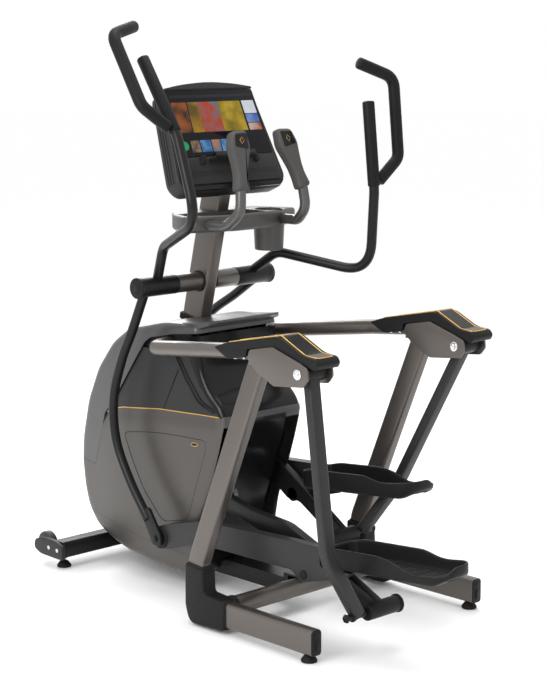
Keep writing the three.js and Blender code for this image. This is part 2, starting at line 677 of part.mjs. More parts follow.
pair("cover_lower", common(common(sideWalls, full(lowerRegion)), half), () => plastic(0x6f6861, 0.42));
const hoodRegion = outline([
  [300, 600], [572, 600], [613, 602.1], [701, 689], [743, 759], [757, 847], [757, 900], [300, 900],
]);
pair(
  "cover_upper",
  common(cut(common(sideWalls, full(upperRegion)), full(hoodRegion)), half),
  () => plastic(0x353638, 0.4),
);
add(
  "cover_skirt",
  common(cut(openCover, box(-SLOT, SLOT, 400, 790, 0, 200)), full(outline([...skirtLine, [640, 0], [1500, 0]]))),
  plastic(0x77706a, 0.4),
);

// ---------- console ----------
// Drawn flat, facing up, with its lower edge at the origin, then leaned back on the mast's head.
// What the mast's head carries is placed from it.
const onConsole = (g) =>
  g.clone().rotateX(THREE.MathUtils.degToRad(90 - CONSOLE_TILT)).translate(0, MAST.high[0] - 85.6, MAST.high[1] - 30);
const housingFace = soft(
  [
    [-232, 34, 16], [-206, 0, 26], [206, 0, 26], [232, 34, 16], [192, 333, 16], [110, 355, 60], [0, 363, 60],
    [-110, 355, 60], [-192, 333, 16],
  ],
  10, 4,
);
const mastRoom = sideways(
  outline([
    [MAST.low[0] - across - GAP, MAST.low[1]], [MAST.low[0] + across + GAP, MAST.low[1]],
    [MAST.high[0] + across + 1, MAST.high[1] + 1], [MAST.high[0] - across - 1, MAST.high[1] + 1],
  ]),
  -MAST.width / 2 - GAP, MAST.width / 2 + GAP,
);
add("console_housing", cut(onConsole(upward(housingFace, -70, 0, 14, 3)), mastRoom), plastic(0x2b2c2e, 0.4));
add(
  "screen",
  onConsole(upward(soft([[-203, 116], [203, 116], [186, 336], [-186, 336]], 8), GAP, 3.5, 0.8, 1)),
  new THREE.MeshStandardMaterial({ color: 0x07080a, roughness: 0.08, metalness: 0 }),
);
add(
  "control_panel",
  onConsole(
    join(
      upward(soft([[-208, 24], [208, 24], [203, 112], [-203, 112]], 10), GAP, 6, 1.5, 1),
      upward(soft([[-84, 96], [84, 96], [84, 106], [-84, 106]], 3), 3, 46, 1, 1),
      upward(soft([[-84, 96], [84, 96], [84, 116], [-84, 116]], 3), 40, 46, 1, 1),
    ),
  ),
  plastic(0x303133, 0.45),
);

// ---------- fixed grips, tray and cup ----------
const fromHead = (points) => points.map(([x, y, ...rest]) => [x, MAST.high[0] + y, ...rest]);
// A bar's line, its two ends drawn out by `extra`.
const barLine = (extra = 0) =>
  new BentPath(
    fromHead([
      [98 - 0.2 * extra, -191.6 + 0.3 * extra, MAST.high[1] + 145 + 0.9 * extra],
      [134, -247.6, MAST.high[1] - 17, 120], [142, -255.6, MAST.high[1] - 85, 50],
      [156, -204.6, MAST.high[1] - 130, 40], [158, -124.6 + extra, MAST.high[1] - 130],
    ]),
    50, 5,
  );
const barRoom = along(barLine(2 * GAP), ring(16.5 + GAP, 14));
pair("fixed_bar", along(barLine(), ring(16.5, 14)), () => steel(0x6d6964, 0.4));
const gripFrame = new THREE.Matrix4().makeBasis(
  ...(() => {
    const up = new THREE.Vector3(94 - 134, 615 - 553, 1500 - 1318).normalize();
    const out = new THREE.Vector3(0, -1, 0.33);
    out.addScaledVector(up, -out.dot(up)).normalize();
    return [up.clone().cross(out), up, out];
  })(),
);
const paddle = upward(
  outline([[-30, 0], [30, 0], [32, 90], [41, 150], [37, 190], [-33, 206], [-41, 150], [-32, 90]]),
  -19, 19, 12, 3,
);
pair(
  "fixed_grip",
  cut(
    paddle.applyMatrix4(gripFrame).translate(133.4, MAST.high[0] - 249.6, MAST.high[1] - 23),
    barRoom,
  ),
  () => plastic(0x5a5856, 0.7),
);
const CUP = [140, MAST.high[0] - 88.6];
const trayTop = MAST.high[1] - 101, trayLow = trayTop - 52;
const dish = outline(
  fromHead([
    [-66, -160.6], [66, -160.6], [238, -108.6], [234, -82.6], [196, 1.4], [134, 73.4], [-134, 73.4], [-196, 1.4],
    [-234, -82.6], [-238, -108.6],
  ]),
);
const bowl = soft(
  fromHead([
    [-62, -146.6], [62, -146.6], [84, -138.6], [84, -30.6], [44, -24.6], [-200, -24.6], [-216, -90.6],
    [-200, -106.6],
  ]),
  8,
);
const cup = (r, z0, z1) =>
  new THREE.CylinderGeometry(r, r - 4, z1 - z0, 28).rotateX(Math.PI / 2).translate(...CUP, (z0 + z1) / 2);
add(
  "tray_and_cup",
  cut(
    join(upward(dish, trayLow, trayTop, 9, 2), cup(50, trayLow - 80, trayLow + 8)),
    cup(45, trayLow - 75, trayTop + 26),
    upward(bowl, trayTop - 16, trayTop + 66),
    mastRoom,
    barRoom,
    mirrored(barRoom),
  ),
  plastic(0x4a4744, 0.5),
);

export default new THREE.Group().add(machine);
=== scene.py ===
import json
import math

import bmesh
import bpy
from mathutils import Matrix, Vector

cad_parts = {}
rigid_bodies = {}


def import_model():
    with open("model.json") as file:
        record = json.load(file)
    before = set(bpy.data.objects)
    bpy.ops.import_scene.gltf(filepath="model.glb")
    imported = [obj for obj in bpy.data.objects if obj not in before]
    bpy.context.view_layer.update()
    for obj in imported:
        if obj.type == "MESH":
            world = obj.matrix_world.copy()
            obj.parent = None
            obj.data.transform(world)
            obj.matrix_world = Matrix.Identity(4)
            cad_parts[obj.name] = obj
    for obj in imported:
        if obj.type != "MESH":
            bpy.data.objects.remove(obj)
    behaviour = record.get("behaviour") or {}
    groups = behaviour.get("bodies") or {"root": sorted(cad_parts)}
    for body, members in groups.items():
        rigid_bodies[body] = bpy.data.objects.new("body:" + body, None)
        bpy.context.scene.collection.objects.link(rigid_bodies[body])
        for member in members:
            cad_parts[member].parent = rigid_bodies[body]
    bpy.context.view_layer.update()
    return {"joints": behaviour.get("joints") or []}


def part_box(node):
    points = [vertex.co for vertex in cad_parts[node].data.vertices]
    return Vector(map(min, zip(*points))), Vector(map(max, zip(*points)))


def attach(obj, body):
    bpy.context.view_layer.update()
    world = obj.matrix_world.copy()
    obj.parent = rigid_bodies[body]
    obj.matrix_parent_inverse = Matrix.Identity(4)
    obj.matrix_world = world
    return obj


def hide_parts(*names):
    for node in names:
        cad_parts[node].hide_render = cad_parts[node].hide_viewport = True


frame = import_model()
cad_nodes = set(bpy.data.objects.keys())
scene = bpy.context.scene


# ---------------------------------------------------------------- camera
# A long lens at head height, behind the machine and to its left, dipped a little.
def placed(name, data):
    """A new object in the scene."""
    thing = bpy.data.objects.new(name, data)
    scene.collection.objects.link(thing)
    return thing


lens = bpy.data.cameras.new("studio_camera")
lens.lens, lens.sensor_width = 96.91, 36
camera = placed("studio_camera", lens)
camera.location = (-3.972, -4.057, 1.795)
camera_dip, camera_heading = 9.521, -44.188
camera.rotation_euler = (math.radians(90 - camera_dip), 0, math.radians(camera_heading))
scene.camera = camera
scene.view_settings.view_transform = "Standard"


# ---------------------------------------------------------------- floor and light
# A white seamless floor, a white room, and softboxes to the left, above and beyond the machine.
floor_mesh = bpy.data.meshes.new("studio_floor")
floor_mesh.from_pydata([(-30, -30, 0), (30, -30, 0), (30, 30, 0), (-30, 30, 0)], [], [(0, 1, 2, 3)])
floor = placed("studio_floor", floor_mesh)
floor_paint = bpy.data.materials.new("studio_floor_paint")
floor_paint.use_nodes = True
floor_shader = floor_paint.node_tree.nodes["Principled BSDF"]
floor_shader.inputs["Base Color"].default_value = (1.0, 1.0, 1.0, 1)
floor_shader.inputs["Roughness"].default_value = 0.55
floor_mesh.materials.append(floor_paint)

room = bpy.data.worlds.new("white_room")
room.use_nodes = True
room.node_tree.nodes["Background"].inputs["Color"].default_value = (1, 1, 1, 1)
room.node_tree.nodes["Background"].inputs["Strength"].default_value = 1.0
scene.world = room


def softbox(name, place, aim, size, power):
    lamp = bpy.data.lights.new(name, "AREA")
    lamp.shape, lamp.size, lamp.size_y, lamp.energy = "RECTANGLE", size[0], size[1], power
    box = placed(name, lamp)
    box.location = place
    box.rotation_euler = (Vector(aim) - Vector(place)).to_track_quat("-Z", "Y").to_euler()


softbox("softbox_left", (-3.6, -0.4, 2.4), (0, 0, 0.7), (1.6, 2.4), 85)
softbox("softbox_top", (0.2, 0.3, 4.2), (0, 0, 0.6), (2.4, 2.4), 70)
softbox("softbox_behind", (1.8, 3.4, 2.6), (0, 0.4, 1.0), (2.0, 1.6), 60)


# ---------------------------------------------------------------- rear legs
# Box-section steel tubes that lie along the floor behind the uprights, in the frame's warm titanium paint.
# Sizes are in millimetres from here on, with y counted from the rear ends of the legs.
rear_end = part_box("leg_R")[0].y
pivots = {j["name"]: j for j in frame["joints"]}


def at(p):
    return Vector((p[0] / 1000, rear_end + p[1] / 1000, p[2] / 1000))


def joint_point(name):
    p = pivots[name]["pos_m"]
    return ((p[1] - rear_end) * 1000, p[2] * 1000)


def ring_of(radius, n=24):
    turns = [2 * math.pi * i / n for i in range(n)]
    return [(radius * math.cos(a), radius * math.sin(a)) for a in turns]


def rounded_box(w, h, r, n=5):
    points = []
    for quarter, (sx, sy) in enumerate([(1, 1), (-1, 1), (-1, -1), (1, -1)]):
        for i in range(n + 1):
            a = math.pi / 2 * (quarter + i / n)
            points.append((sx * (w / 2 - r) + r * math.cos(a), sy * (h / 2 - r) + r * math.sin(a)))
    return points


def bend(corners, radius=0.0, n=10):
    """Straight runs joined by round bends; a corner may carry its own radius."""
    pts = [Vector(c[:3]) for c in corners]
    out = [pts[0]]
    for i in range(1, len(pts) - 1):
        u, v = pts[i - 1] - pts[i], pts[i + 1] - pts[i]
        half = u.angle(v) / 2
        r = corners[i][3] if len(corners[i]) > 3 else radius
        reach = min(r / math.tan(half), 0.49 * u.length, 0.49 * v.length)
        a, b = pts[i] + u.normalized() * reach, pts[i] + v.normalized() * reach
        for k in range(n + 1):
            t = k / n
            out.append(a * (1 - t) ** 2 + pts[i] * 2 * t * (1 - t) + b * t * t)
    return out + [pts[-1]]


def curve_through(points, n=6):
    """A smooth curve through the points."""
    p = [Vector(q) for q in points]
    p = [p[0] * 2 - p[1]] + p + [p[-1] * 2 - p[-2]]
    out = []
    for i in range(1, len(p) - 2):
        for k in range(n):
            t = k / n
            square = 2 * p[i - 1] - 5 * p[i] + 4 * p[i + 1] - p[i + 2]
            cube = 3 * p[i] - p[i - 1] - 3 * p[i + 1] + p[i + 2]
            out.append(0.5 * (2 * p[i] + (p[i + 1] - p[i - 1]) * t + square * t * t + cube * t ** 3))
    return out + [p[-2]]


def stacked(rings):
    """Rings of equal length joined into one closed shell, capped at both ends."""
    n = len(rings[0])
    verts = [Vector(v) for ring in rings for v in ring]
    faces = [tuple(range(n))[::-1], tuple(range(len(verts) - n, len(verts)))]
    for r in range(0, len(verts) - n, n):
        faces += [(r + i, r + (i + 1) % n, r + n + (i + 1) % n, r + n + i) for i in range(n)]
    return verts, faces


def sweep(section, path, edge=1.2, lateral=(1, 0, 0)):
    """A closed bar of one section along a path, with rounded ends; its first axis stays near lateral."""
    path = [Vector(p) for p in path]
    rows, side = [], Vector(lateral)
    size = max(max(abs(a), abs(b)) for a, b in section)

    def place(centre, tangent, scale):
        nonlocal side
        side = (side - tangent * side.dot(tangent)).normalized()
        up = tangent.cross(side)
        rows.append([centre + side * a * scale + up * b * scale for a, b in section])

    for i, p in enumerate(path):
        before = (p - path[i - 1]).normalized() if i else None
        after = (path[i + 1] - p).normalized() if i + 1 < len(path) else None
        tangent = ((before or after) + (after or before)).normalized()
        if 0 < i < len(path) - 1:
            place(p, tangent, 1)
            continue
        for a in (0, 30, 60, 90) if i == 0 else (90, 60, 30, 0):
            a = math.radians(a)
            along = edge * (1 - math.cos(a)) * (1 if i == 0 else -1)
            place(p + tangent * along, tangent, 1 - edge / size * (1 - math.sin(a)))
    return stacked(rows)


def mirrored(shell):
    return [Vector((-v[0], v[1], v[2])) for v in shell[0]], [tuple(f)[::-1] for f in shell[1]]


def turned(shell, turn):
    """Turned about a sideways line through one point, which is carried to another."""
    (y0, z0), degrees, (y1, z1) = turn
    c, s = math.cos(math.radians(degrees)), math.sin(math.radians(degrees))
    out = []
    for v in shell[0]:
        y, z = v[1] - y0, v[2] - z0
        out.append(Vector((v[0], y1 + y * c - z * s, z1 + y * s + z * c)))
    return out, shell[1]


def merged(*shells):
    verts, faces = [], []
    for shell in shells:
        base = len(verts)
        verts += shell[0]
        faces += [tuple(base + i for i in f) for f in shell[1]]
    return verts, faces


def mesh_of(name, shell):
    mesh = bpy.data.meshes.new(name)
    mesh.from_pydata([tuple(v) for v in shell[0]], [], shell[1])
    return mesh


def face_outward(mesh):
    solid = bmesh.new()
    solid.from_mesh(mesh)
    bmesh.ops.recalc_face_normals(solid, faces=solid.faces)
    if solid.calc_volume(signed=True) < 0:
        bmesh.ops.reverse_faces(solid, faces=solid.faces)
    solid.to_mesh(mesh)
    solid.free()


def applied(thing):
    """The plain mesh that an object's modifiers make."""
    bpy.context.view_layer.update()
    return bpy.data.meshes.new_from_object(thing.evaluated_get(bpy.context.evaluated_depsgraph_get()))


def make(name, shells, look, body="frame", bevel=0.0, segments=3, limit=35, sharp=38):
    """One piece from its shells in millimetres; it stands for the CAD node of the same name, if any."""
    verts, faces = merged(*shells)
    mesh = mesh_of(name, ([at(v) for v in verts], faces))
    face_outward(mesh)
    piece = placed(name, mesh)
    if bevel:
        edges = piece.modifiers.new("edges", "BEVEL")
        edges.width, edges.segments, edges.limit_method = bevel / 1000, segments, "ANGLE"
        edges.angle_limit = math.radians(limit)
        piece.data = applied(piece)
        piece.modifiers.clear()
    mesh = piece.data
    mesh.polygons.foreach_set("use_smooth", [True] * len(mesh.polygons))
    mesh.set_sharp_from_angle(angle=math.radians(sharp))
    mesh.materials.clear()
    mesh.materials.append(look)
    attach(piece, body)
    if name in cad_nodes:
        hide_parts(name)


def both(name, shells, look, body="frame", turn=None, **more):
    """The piece as drawn on the right, moved by turn if it has one, and its mirror on the left."""
    for tag, word in (("L", "left"), ("R", "right")):
        here = [mirrored(s) if tag == "L" else turned(s, turn) if turn else s for s in shells]
        make(f"{name}_{tag}", here, look, body.replace("SIDE", word), **more)


def node(tree, kind, values=None, feeds=None):
    """A new node, some inputs set to values and some fed from the sockets of other nodes."""
    new = tree.nodes.new(kind)
    for key, value in (values or {}).items():
        new.inputs[key].default_value = value
    for key, source in (feeds or {}).items():
        tree.links.new(source, new.inputs[key])
    return new


def noise(tree, scale, detail):
    where = node(tree, "ShaderNodeTexCoord").outputs["Object"]
    grains = node(tree, "ShaderNodeTexNoise", {"Scale": scale, "Detail": detail}, {"Vector": where})
    return grains.outputs["Fac"]


def spread(tree, source, low, high, to_low=0, to_high=1):
    values = {"From Min": low, "From Max": high, "To Min": to_low, "To Max": to_high}
    return node(tree, "ShaderNodeMapRange", values, {"Value": source}).outputs["Result"]


def blend(tree, amount, high, values=None, feeds=None):
    """A colour that goes over to high by an amount; the first colour is input 6, a value or fed."""
    mix = node(tree, "ShaderNodeMix", {7: (*high, 1), **(values or {})}, {0: amount, **(feeds or {})})
    mix.data_type = "RGBA"
    return mix.outputs[2]


def shader_of(name, slot):
    look = bpy.data.materials.new(name)
    look["slot"] = slot
    look.use_nodes = True
    return look, look.node_tree, look.node_tree.nodes["Principled BSDF"]


def finish_of(name, slot, color, rough, metal=0.0, grain=900.0, bump=0.05, mottle=0.06, edge_highlight=None, **shader):
    """A moulded or painted finish: fine grain, patchy roughness and colour, and a painted highlight that
    lightens sharp edges.
    """
    look, tree, bsdf = shader_of(name, slot)
    bsdf.inputs["Metallic"].default_value = metal
    for socket, value in shader.items():
        bsdf.inputs[socket.replace("_", " ")].default_value = value
    dark, light = ([min(1, c * (1 + way * mottle)) for c in color] for way in (-1, 1))
    tone = blend(tree, spread(tree, noise(tree, grain * 0.6, 1.0), 0.3, 0.7), light, {6: (*dark, 1)})
    # Painted highlight: sharp edges are lightened towards the given colour, standing in for light caught on
    # them.
    if edge_highlight:
        edges = spread(tree, node(tree, "ShaderNodeNewGeometry").outputs["Pointiness"], 0.53, 0.62)
        tone = blend(tree, edges, edge_highlight, feeds={6: tone})
    patches = spread(tree, noise(tree, 9.0, 4.0), 0.3, 0.7, rough * 0.88, min(1, rough * 1.14))
    depth = {"Strength": bump, "Distance": 0.0004}
    relief = node(tree, "ShaderNodeBump", depth, {"Height": noise(tree, grain, 2.0)})
    tree.links.new(tone, bsdf.inputs["Base Color"])
    tree.links.new(patches, bsdf.inputs["Roughness"])
    tree.links.new(relief.outputs["Normal"], bsdf.inputs["Normal"])
    return look


titanium = finish_of("titanium_paint", "titanium_paint", (0.116, 0.103, 0.093), 0.34, metal=0.75,
                     grain=2600, bump=0.10, mottle=0.16, Coat_Weight=0.25, Coat_Roughness=0.22)
leg_x, leg_z = 360, 62
both("leg", [sweep(rounded_box(40, 78, 10), [(leg_x, 2, leg_z), (leg_x, 455, leg_z)])], titanium)

# ---------------------------------------------------------------- leg end plugs
# Black mouldings pressed into the rear ends of the legs, each with a screw above a long finger slot.
def slab(outline, x0, x1):
    """A Y-Z outline made thick from x0 to x1."""
    n = len(outline)
    verts = [Vector((x, y, z)) for x in (x0, x1) for y, z in outline]
    faces = [tuple(range(n))[::-1], tuple(range(n, 2 * n))]
    faces += [(i, (i + 1) % n, n + (i + 1) % n, n + i) for i in range(n)]
    return verts, faces


def rod(r, x0, x1, centre, n=36, edge=1.0):
    y, z = centre
    return sweep(ring_of(r, n), [(x0, y, z), (x1, y, z)], edge, (0, 1, 0))


# Its sharp edges get a painted highlight.
moulded_black = finish_of("moulded_black", "black_plastic", (0.010, 0.010, 0.0105), 0.40, grain=1500,
                          bump=0.22, mottle=0.2, edge_highlight=(0.03, 0.03, 0.03), Specular_IOR_Level=0.13)
plug = [
    sweep(rounded_box(38, 76, 9.5), [(leg_x, -2.5, leg_z), (leg_x, 8, leg_z)], 2.0),
    sweep(rounded_box(15, 34, 7), [(leg_x, -4.6, leg_z - 10), (leg_x, 0, leg_z - 10)], 1.2),
    sweep(rounded_box(9, 27, 4), [(leg_x, -5.4, leg_z - 10), (leg_x, 0, leg_z - 10)], 0.6),
    sweep(ring_of(7.5, 6), [(leg_x, -5.2, leg_z + 22), (leg_x, 0, leg_z + 22)], 0.8),
]
both("leg_plug", plug, moulded_black)


# ---------------------------------------------------------------- uprights
# Deeper box tubes that rise from the boots and lean back to the brackets, with one bend just above the boot.
upright_path = bend([(leg_x, 503, 110), (leg_x, 500, 205), (leg_x, 232.5, 850)], 90, 12)
both("upright", [sweep(rounded_box(40, 66, 9), upright_path)], titanium)


# ---------------------------------------------------------------- boots
# Black mouldings that hide the welded corner of leg, upright and cross tube, with a collar round each tube.
def soft(points, radius=0.0, n=6):
    """A closed outline with rounded corners; a point may carry its own reach."""
    out = []
    for i, here in enumerate(points):
        near = points[i - 1], here, points[(i + 1) % len(points)]
        before, p, after = (Vector(q[:2]) for q in near)
        u, v = before - p, after - p
        reach = min(here[2] if len(here) > 2 else radius, 0.45 * u.length, 0.45 * v.length)
        if reach < 0.5:
            out.append(tuple(p))
            continue
        a, b = p + u.normalized() * reach, p + v.normalized() * reach
        for k in range(n + 1):
            t = k / n
            out.append(tuple(a * (1 - t) ** 2 + p * 2 * t * (1 - t) + b * t * t))
    return out


boot_side = soft([(368, 12), (364, 106), (455, 112), (459, 184), (540, 196), (541, 60), (522, 6, 34)], 12)
both("boot", [slab(boot_side, leg_x - 27, leg_x + 27)], moulded_black, bevel=6, segments=4)
cross_axis = 392, 76
boot_collars = [
    sweep(rounded_box(44.5, 82, 11), [(leg_x, 361, leg_z), (leg_x, 372, leg_z)], 2),
    sweep(rounded_box(45, 71, 11), [(leg_x, 501, 184), (leg_x, 500, 196)], 2),
    rod(33, 318, 336, cross_axis, edge=3),
]
both("boot_collar", boot_collars, moulded_black)


# ---------------------------------------------------------------- cross tube
# A round steel tube between the boots, in the frame's paint, its ends hidden in the boots' collars.
make("cross_tube", [rod(29, -340, 340, cross_axis, 48)], titanium)


# ---------------------------------------------------------------- levelling feet
# Rubber-shod steel pads on threaded studs with a lock nut, screwed up into the legs and the stabiliser.
def lathe(profile, x, y, n=40):
    """A profile of (radius, height) turned about an upright line; it starts and ends on the line."""
    inner = profile[1:-1]
    verts = [Vector((x, y, profile[0][1]))]
    verts += [Vector((x + r * math.cos(2 * math.pi * i / n), y + r * math.sin(2 * math.pi * i / n), z))
              for r, z in inner for i in range(n)]
    verts.append(Vector((x, y, profile[-1][1])))
    top = len(verts) - 1
    faces = []
    for i in range(n):
        j = (i + 1) % n
        faces.append((0, 1 + j, 1 + i))
        for k in range(len(inner) - 1):
            a, b = 1 + k * n, 1 + (k + 1) * n
            faces.append((a + i, a + j, b + j, b + i))
        last = 1 + (len(inner) - 1) * n
        faces.append((last + i, last + j, top))
    return verts, faces


foot_rubber = finish_of("foot_rubber", "black_rubber", (0.010, 0.010, 0.0105), 0.62, grain=1800, bump=0.3,
                        mottle=0.2, Specular_IOR_Level=0.15)
plated_steel = finish_of("plated_steel", "bright_steel", (0.55, 0.55, 0.57), 0.24, metal=1.0, grain=2400,
                         bump=0.05, mottle=0.1)
pad = [(0, 0), (21.5, 0), (23.6, 1), (24, 3), (24, 7.5), (22.6, 9), (15, 19), (11, 21.4), (7, 22.4),
       (0, 22.6)]
foot_x, foot_y = 277, 1287
both("rear_foot", [lathe(pad, leg_x, 29)], foot_rubber)
both("front_foot", [lathe(pad, foot_x, foot_y)], foot_rubber)
thread_foot, pitch, turns = 21, 1.5, 12
thread = [(0, thread_foot - 1)]
for k in range(turns):
    thread += [(5.2, thread_foot + pitch * k), (6, thread_foot + pitch * (k + 0.5))]
thread += [(0, thread[-1][1] + 0.5)]
lock_nut = sweep(ring_of(10.5, 6), [(foot_x, foot_y, 27), (foot_x, foot_y, 34)], 1.0)
both("front_foot_stud", [lathe(thread, foot_x, foot_y), lock_nut], plated_steel)


# ---------------------------------------------------------------- front stabiliser
# A folded steel section right across the front, powder coated black, with sloping top edges.
powder_black = finish_of("powder_black", "black_paint", (0.008, 0.008, 0.0085), 0.33, grain=2000, bump=0.14,
                         mottle=0.2, Specular_IOR_Level=0.22)
stabiliser_side = soft([(1250, 40), (1250, 80), (1262, 93), (1308, 93), (1326, 80), (1326, 40)], 6)
make("front_stabiliser", [slab(stabiliser_side, -300, 300)], powder_black, bevel=1.2)


# ---------------------------------------------------------------- stabiliser caps and transport wheels
# Dark grey end mouldings held by two screws each, which carry the axle stubs of the two transport wheels.
# Its sharp edges get a painted highlight.
moulded_grey = finish_of("moulded_grey", "charcoal_plastic", (0.026, 0.026, 0.027), 0.45, grain=1500,
                         bump=0.2, mottle=0.15, edge_highlight=(0.06, 0.06, 0.06), Specular_IOR_Level=0.18)
wheel = joint_point("transport_wheel_right_spin")
cap_side = soft([(1248, 34, 6), (1248, 82, 6), (1300, 98, 20), (1362, 96, 26), (1400, 82, 26), (1404, 52, 22),
                 (1370, 36, 20)], 10)
both("stabiliser_cap", [slab(cap_side, 300.3, 316), rod(9, 252, 305, wheel)], moulded_grey, bevel=3.2,
     segments=4)
tyre = finish_of("wheel_rubber", "black_rubber", (0.03, 0.03, 0.031), 0.55, grain=1200, bump=0.25,
                 mottle=0.25)
both("transport_wheel", [rod(41, 262.5, 291.5, wheel, 48, 6), rod(34, 261.5, 292.5, wheel, 48, 1.5),
                         rod(14, 260.5, 293.5, wheel, 32, 1.5)], tyre, "wheel_SIDE")


# ---------------------------------------------------------------- screws
# Socket-head screws: in plated steel on the stabiliser caps and under the shoulder covers, and in black along
# the skirt.
def shell_of(mesh):
    """A mesh taken back into a shell."""
    shell = [v.co.copy() for v in mesh.vertices], [tuple(p.vertices) for p in mesh.polygons]
    bpy.data.meshes.remove(mesh)
    return shell


def tree_of(name, sockets):
    """A geometry tree with named inputs and a finish, and the sockets that it is given."""
    tree = bpy.data.node_groups.new(name, "GeometryNodeTree")
    for label, kind, value in sockets:
        socket = tree.interface.new_socket(label, in_out="INPUT", socket_type="NodeSocket" + kind)
        socket.default_value = value
    tree.interface.new_socket("Finish", in_out="INPUT", socket_type="NodeSocketMaterial")
    tree.interface.new_socket("Geometry", in_out="OUTPUT", socket_type="NodeSocketGeometry")
    return tree, node(tree, "NodeGroupInput").outputs


def set_out(tree, points, copies, **feeds):
    """Copies on points."""
    feeds = {"Points": points.outputs[0], "Instance": copies.outputs[0], **feeds}
    return node(tree, "GeometryNodeInstanceOnPoints", feeds=feeds)


def painted(tree, given, copies):
    """The tree's end: the copies made real, in the finish that is given."""
    real = node(tree, "GeometryNodeRealizeInstances", feeds={"Geometry": copies.outputs[0]})
    feeds = {"Geometry": real.outputs[0], "Material": given["Finish"]}
    paint = node(tree, "GeometryNodeSetMaterial", feeds=feeds)
    node(tree, "NodeGroupOutput", feeds={"Geometry": paint.outputs[0]})
    return tree


def screw_tree():
    tree, given = tree_of("screw_row", (
        ("Count", "Int", 2), ("First", "Vector", (0, 0, 0)), ("Step", "Vector", (10, 0, 0)),
        ("Turn", "Vector", (0, 0, 0)), ("Head radius", "Float", 6.0), ("Head height", "Float", 4.0)))
    row = {"Count": given["Count"], "Start Location": given["First"], "Offset": given["Step"]}
    line = node(tree, "GeometryNodeMeshLine", feeds=row)
    half = node(tree, "ShaderNodeMath", {1: 0.52}, {0: given["Head radius"]})
    half.operation = "MULTIPLY"
    head, socket = (node(tree, "GeometryNodeMeshCylinder", {"Vertices": sides},
                         {"Radius": radius, "Depth": given["Head height"]})
                    for sides, radius in ((28, given["Head radius"]), (6, half.outputs[0])))
    raised = node(tree, "ShaderNodeCombineXYZ", feeds={"Z": half.outputs[0]})
    shift = {"Geometry": socket.outputs[0], "Translation": raised.outputs[0]}
    lift = node(tree, "GeometryNodeTransform", feeds=shift)
    bore = {"Mesh 1": head.outputs[0], "Mesh 2": lift.outputs[0]}
    bored = node(tree, "GeometryNodeMeshBoolean", feeds=bore)
    return painted(tree, given, set_out(tree, line, bored, Rotation=given["Turn"]))


def grown(tree, **values):
    """The shell that a geometry tree makes from its named inputs, in millimetres."""
    carrier = placed("carrier", bpy.data.meshes.new("carrier"))
    grow = carrier.modifiers.new("grow", "NODES")
    grow.node_group = tree
    for item in tree.interface.items_tree:
        key = item.name.replace(" ", "_")
        if item.in_out == "INPUT" and key in values:
            grow[item.identifier] = values[key]
    mesh = applied(carrier)
    bpy.data.objects.remove(carrier)
    return shell_of(mesh)


screws = screw_tree()
sideways = (0.0, math.pi / 2, 0.0)
cap_screws = grown(screws, Count=2, First=(317.0, 1272.0, 66.0), Step=(0.0, 46.0, 2.0), Turn=sideways,
                   Head_radius=7.0, Head_height=3.0)
both("stabiliser_screws", [cap_screws], plated_steel, bevel=0.4, segments=2)


# ---------------------------------------------------------------- rear brackets
# Pairs of laser-cut plates welded to the tops of the uprights; the swing arm hangs between them.
swing = joint_point("swing_arm_left_pivot")
plate_side = soft([(255, 866), (245, 893), (150, 912), (60, 885), (10, 868), (6, 834), (25, 811), (145, 799),
                   (215, 832)], 7)
bridge = [(158, 848.4), (250, 848.4), (250, 888), (150, 896)]
both("bracket", [slab(plate_side, 286, 292), slab(plate_side, 386, 392), slab(bridge, 290, 388)], titanium,
     bevel=1.3)


# ---------------------------------------------------------------- axle bolts
# Chrome-plated bolts right through the brackets, with a broad washer and a domed socket head on each side.
chrome = finish_of("bolt_chrome", "bright_steel", (0.80, 0.80, 0.82), 0.10, metal=1.0, grain=2200,
                   bump=0.03, mottle=0.05)
bolt = [rod(8, 276, 401, swing), rod(15, 392.2, 395, swing, 40, 0.8), rod(15, 283.2, 285.8, swing, 40, 0.8),
        rod(11, 394.6, 399, swing, 6, 0.8), rod(11, 277, 283.6, swing, 6, 0.8),
        rod(8.6, 398.5, 402, swing, 32, 1.6)]
both("axle_bolt", bolt, chrome)


# ---------------------------------------------------------------- shoulder covers
# Black mouldings over the brackets: a satin body, a glossy top inlay, and a gold strip round the inlay.
gloss_black = finish_of("gloss_black", "black_plastic", (0.006, 0.006, 0.0065), 0.18, grain=700, bump=0.02,
                        mottle=0.1, Specular_IOR_Level=0.22)
gold = finish_of("gold_trim", "gold_trim", (0.62, 0.36, 0.055), 0.30, metal=0.55, grain=1500, bump=0.04,
                 mottle=0.08, Coat_Weight=0.3)
shoulder_side = soft([(404, 882, 8), (352, 900, 20), (131, 945, 24), (36, 900, 20), (-14, 896, 10),
                      (-26, 880, 10), (-16, 862, 8), (4, 867, 10), (52, 882, 10), (150, 908, 10),
                      (262, 893, 8), (268, 868, 8), (345, 852, 16)], 6)
both("shoulder_cover", [slab(shoulder_side, 292.4, 385.6)], moulded_black, bevel=8,
     segments=5)
crown = [(352, 900.6), (131, 945.4), (36, 900.6), (-12, 896.6)]
inlay_line = bend([(339, y, z) for y, z in crown], 26, 8)
inlay = sweep([(-33, -2), (33, -2), (33, 0.4), (-33, 0.4)], inlay_line, 0.4)
both("shoulder_inlay", [inlay], gloss_black)
edge_line = [(317, 366, 897.4), (305.5, 351, 901), *[(305, y, z) for y, z in crown[1:]],
             *[(373, y, z) for y, z in crown[:0:-1]], (372.5, 351, 901)]
both("shoulder_gold", [sweep(ring_of(1.7, 10), bend(edge_line, 14, 6), 0.4, (0, 0, 1))], gold)
under_turn = (math.pi, 0.0, 0.0)
under = [grown(screws, Count=2, First=(302.0 + 74 * k, 282.0, 862.0), Step=(0.0, 38.0, -4.0), Turn=under_turn,
               Head_radius=5.0, Head_height=5.0) for k in (0, 1)]
both("shoulder_screws", under, plated_steel, bevel=0.3, segments=2)


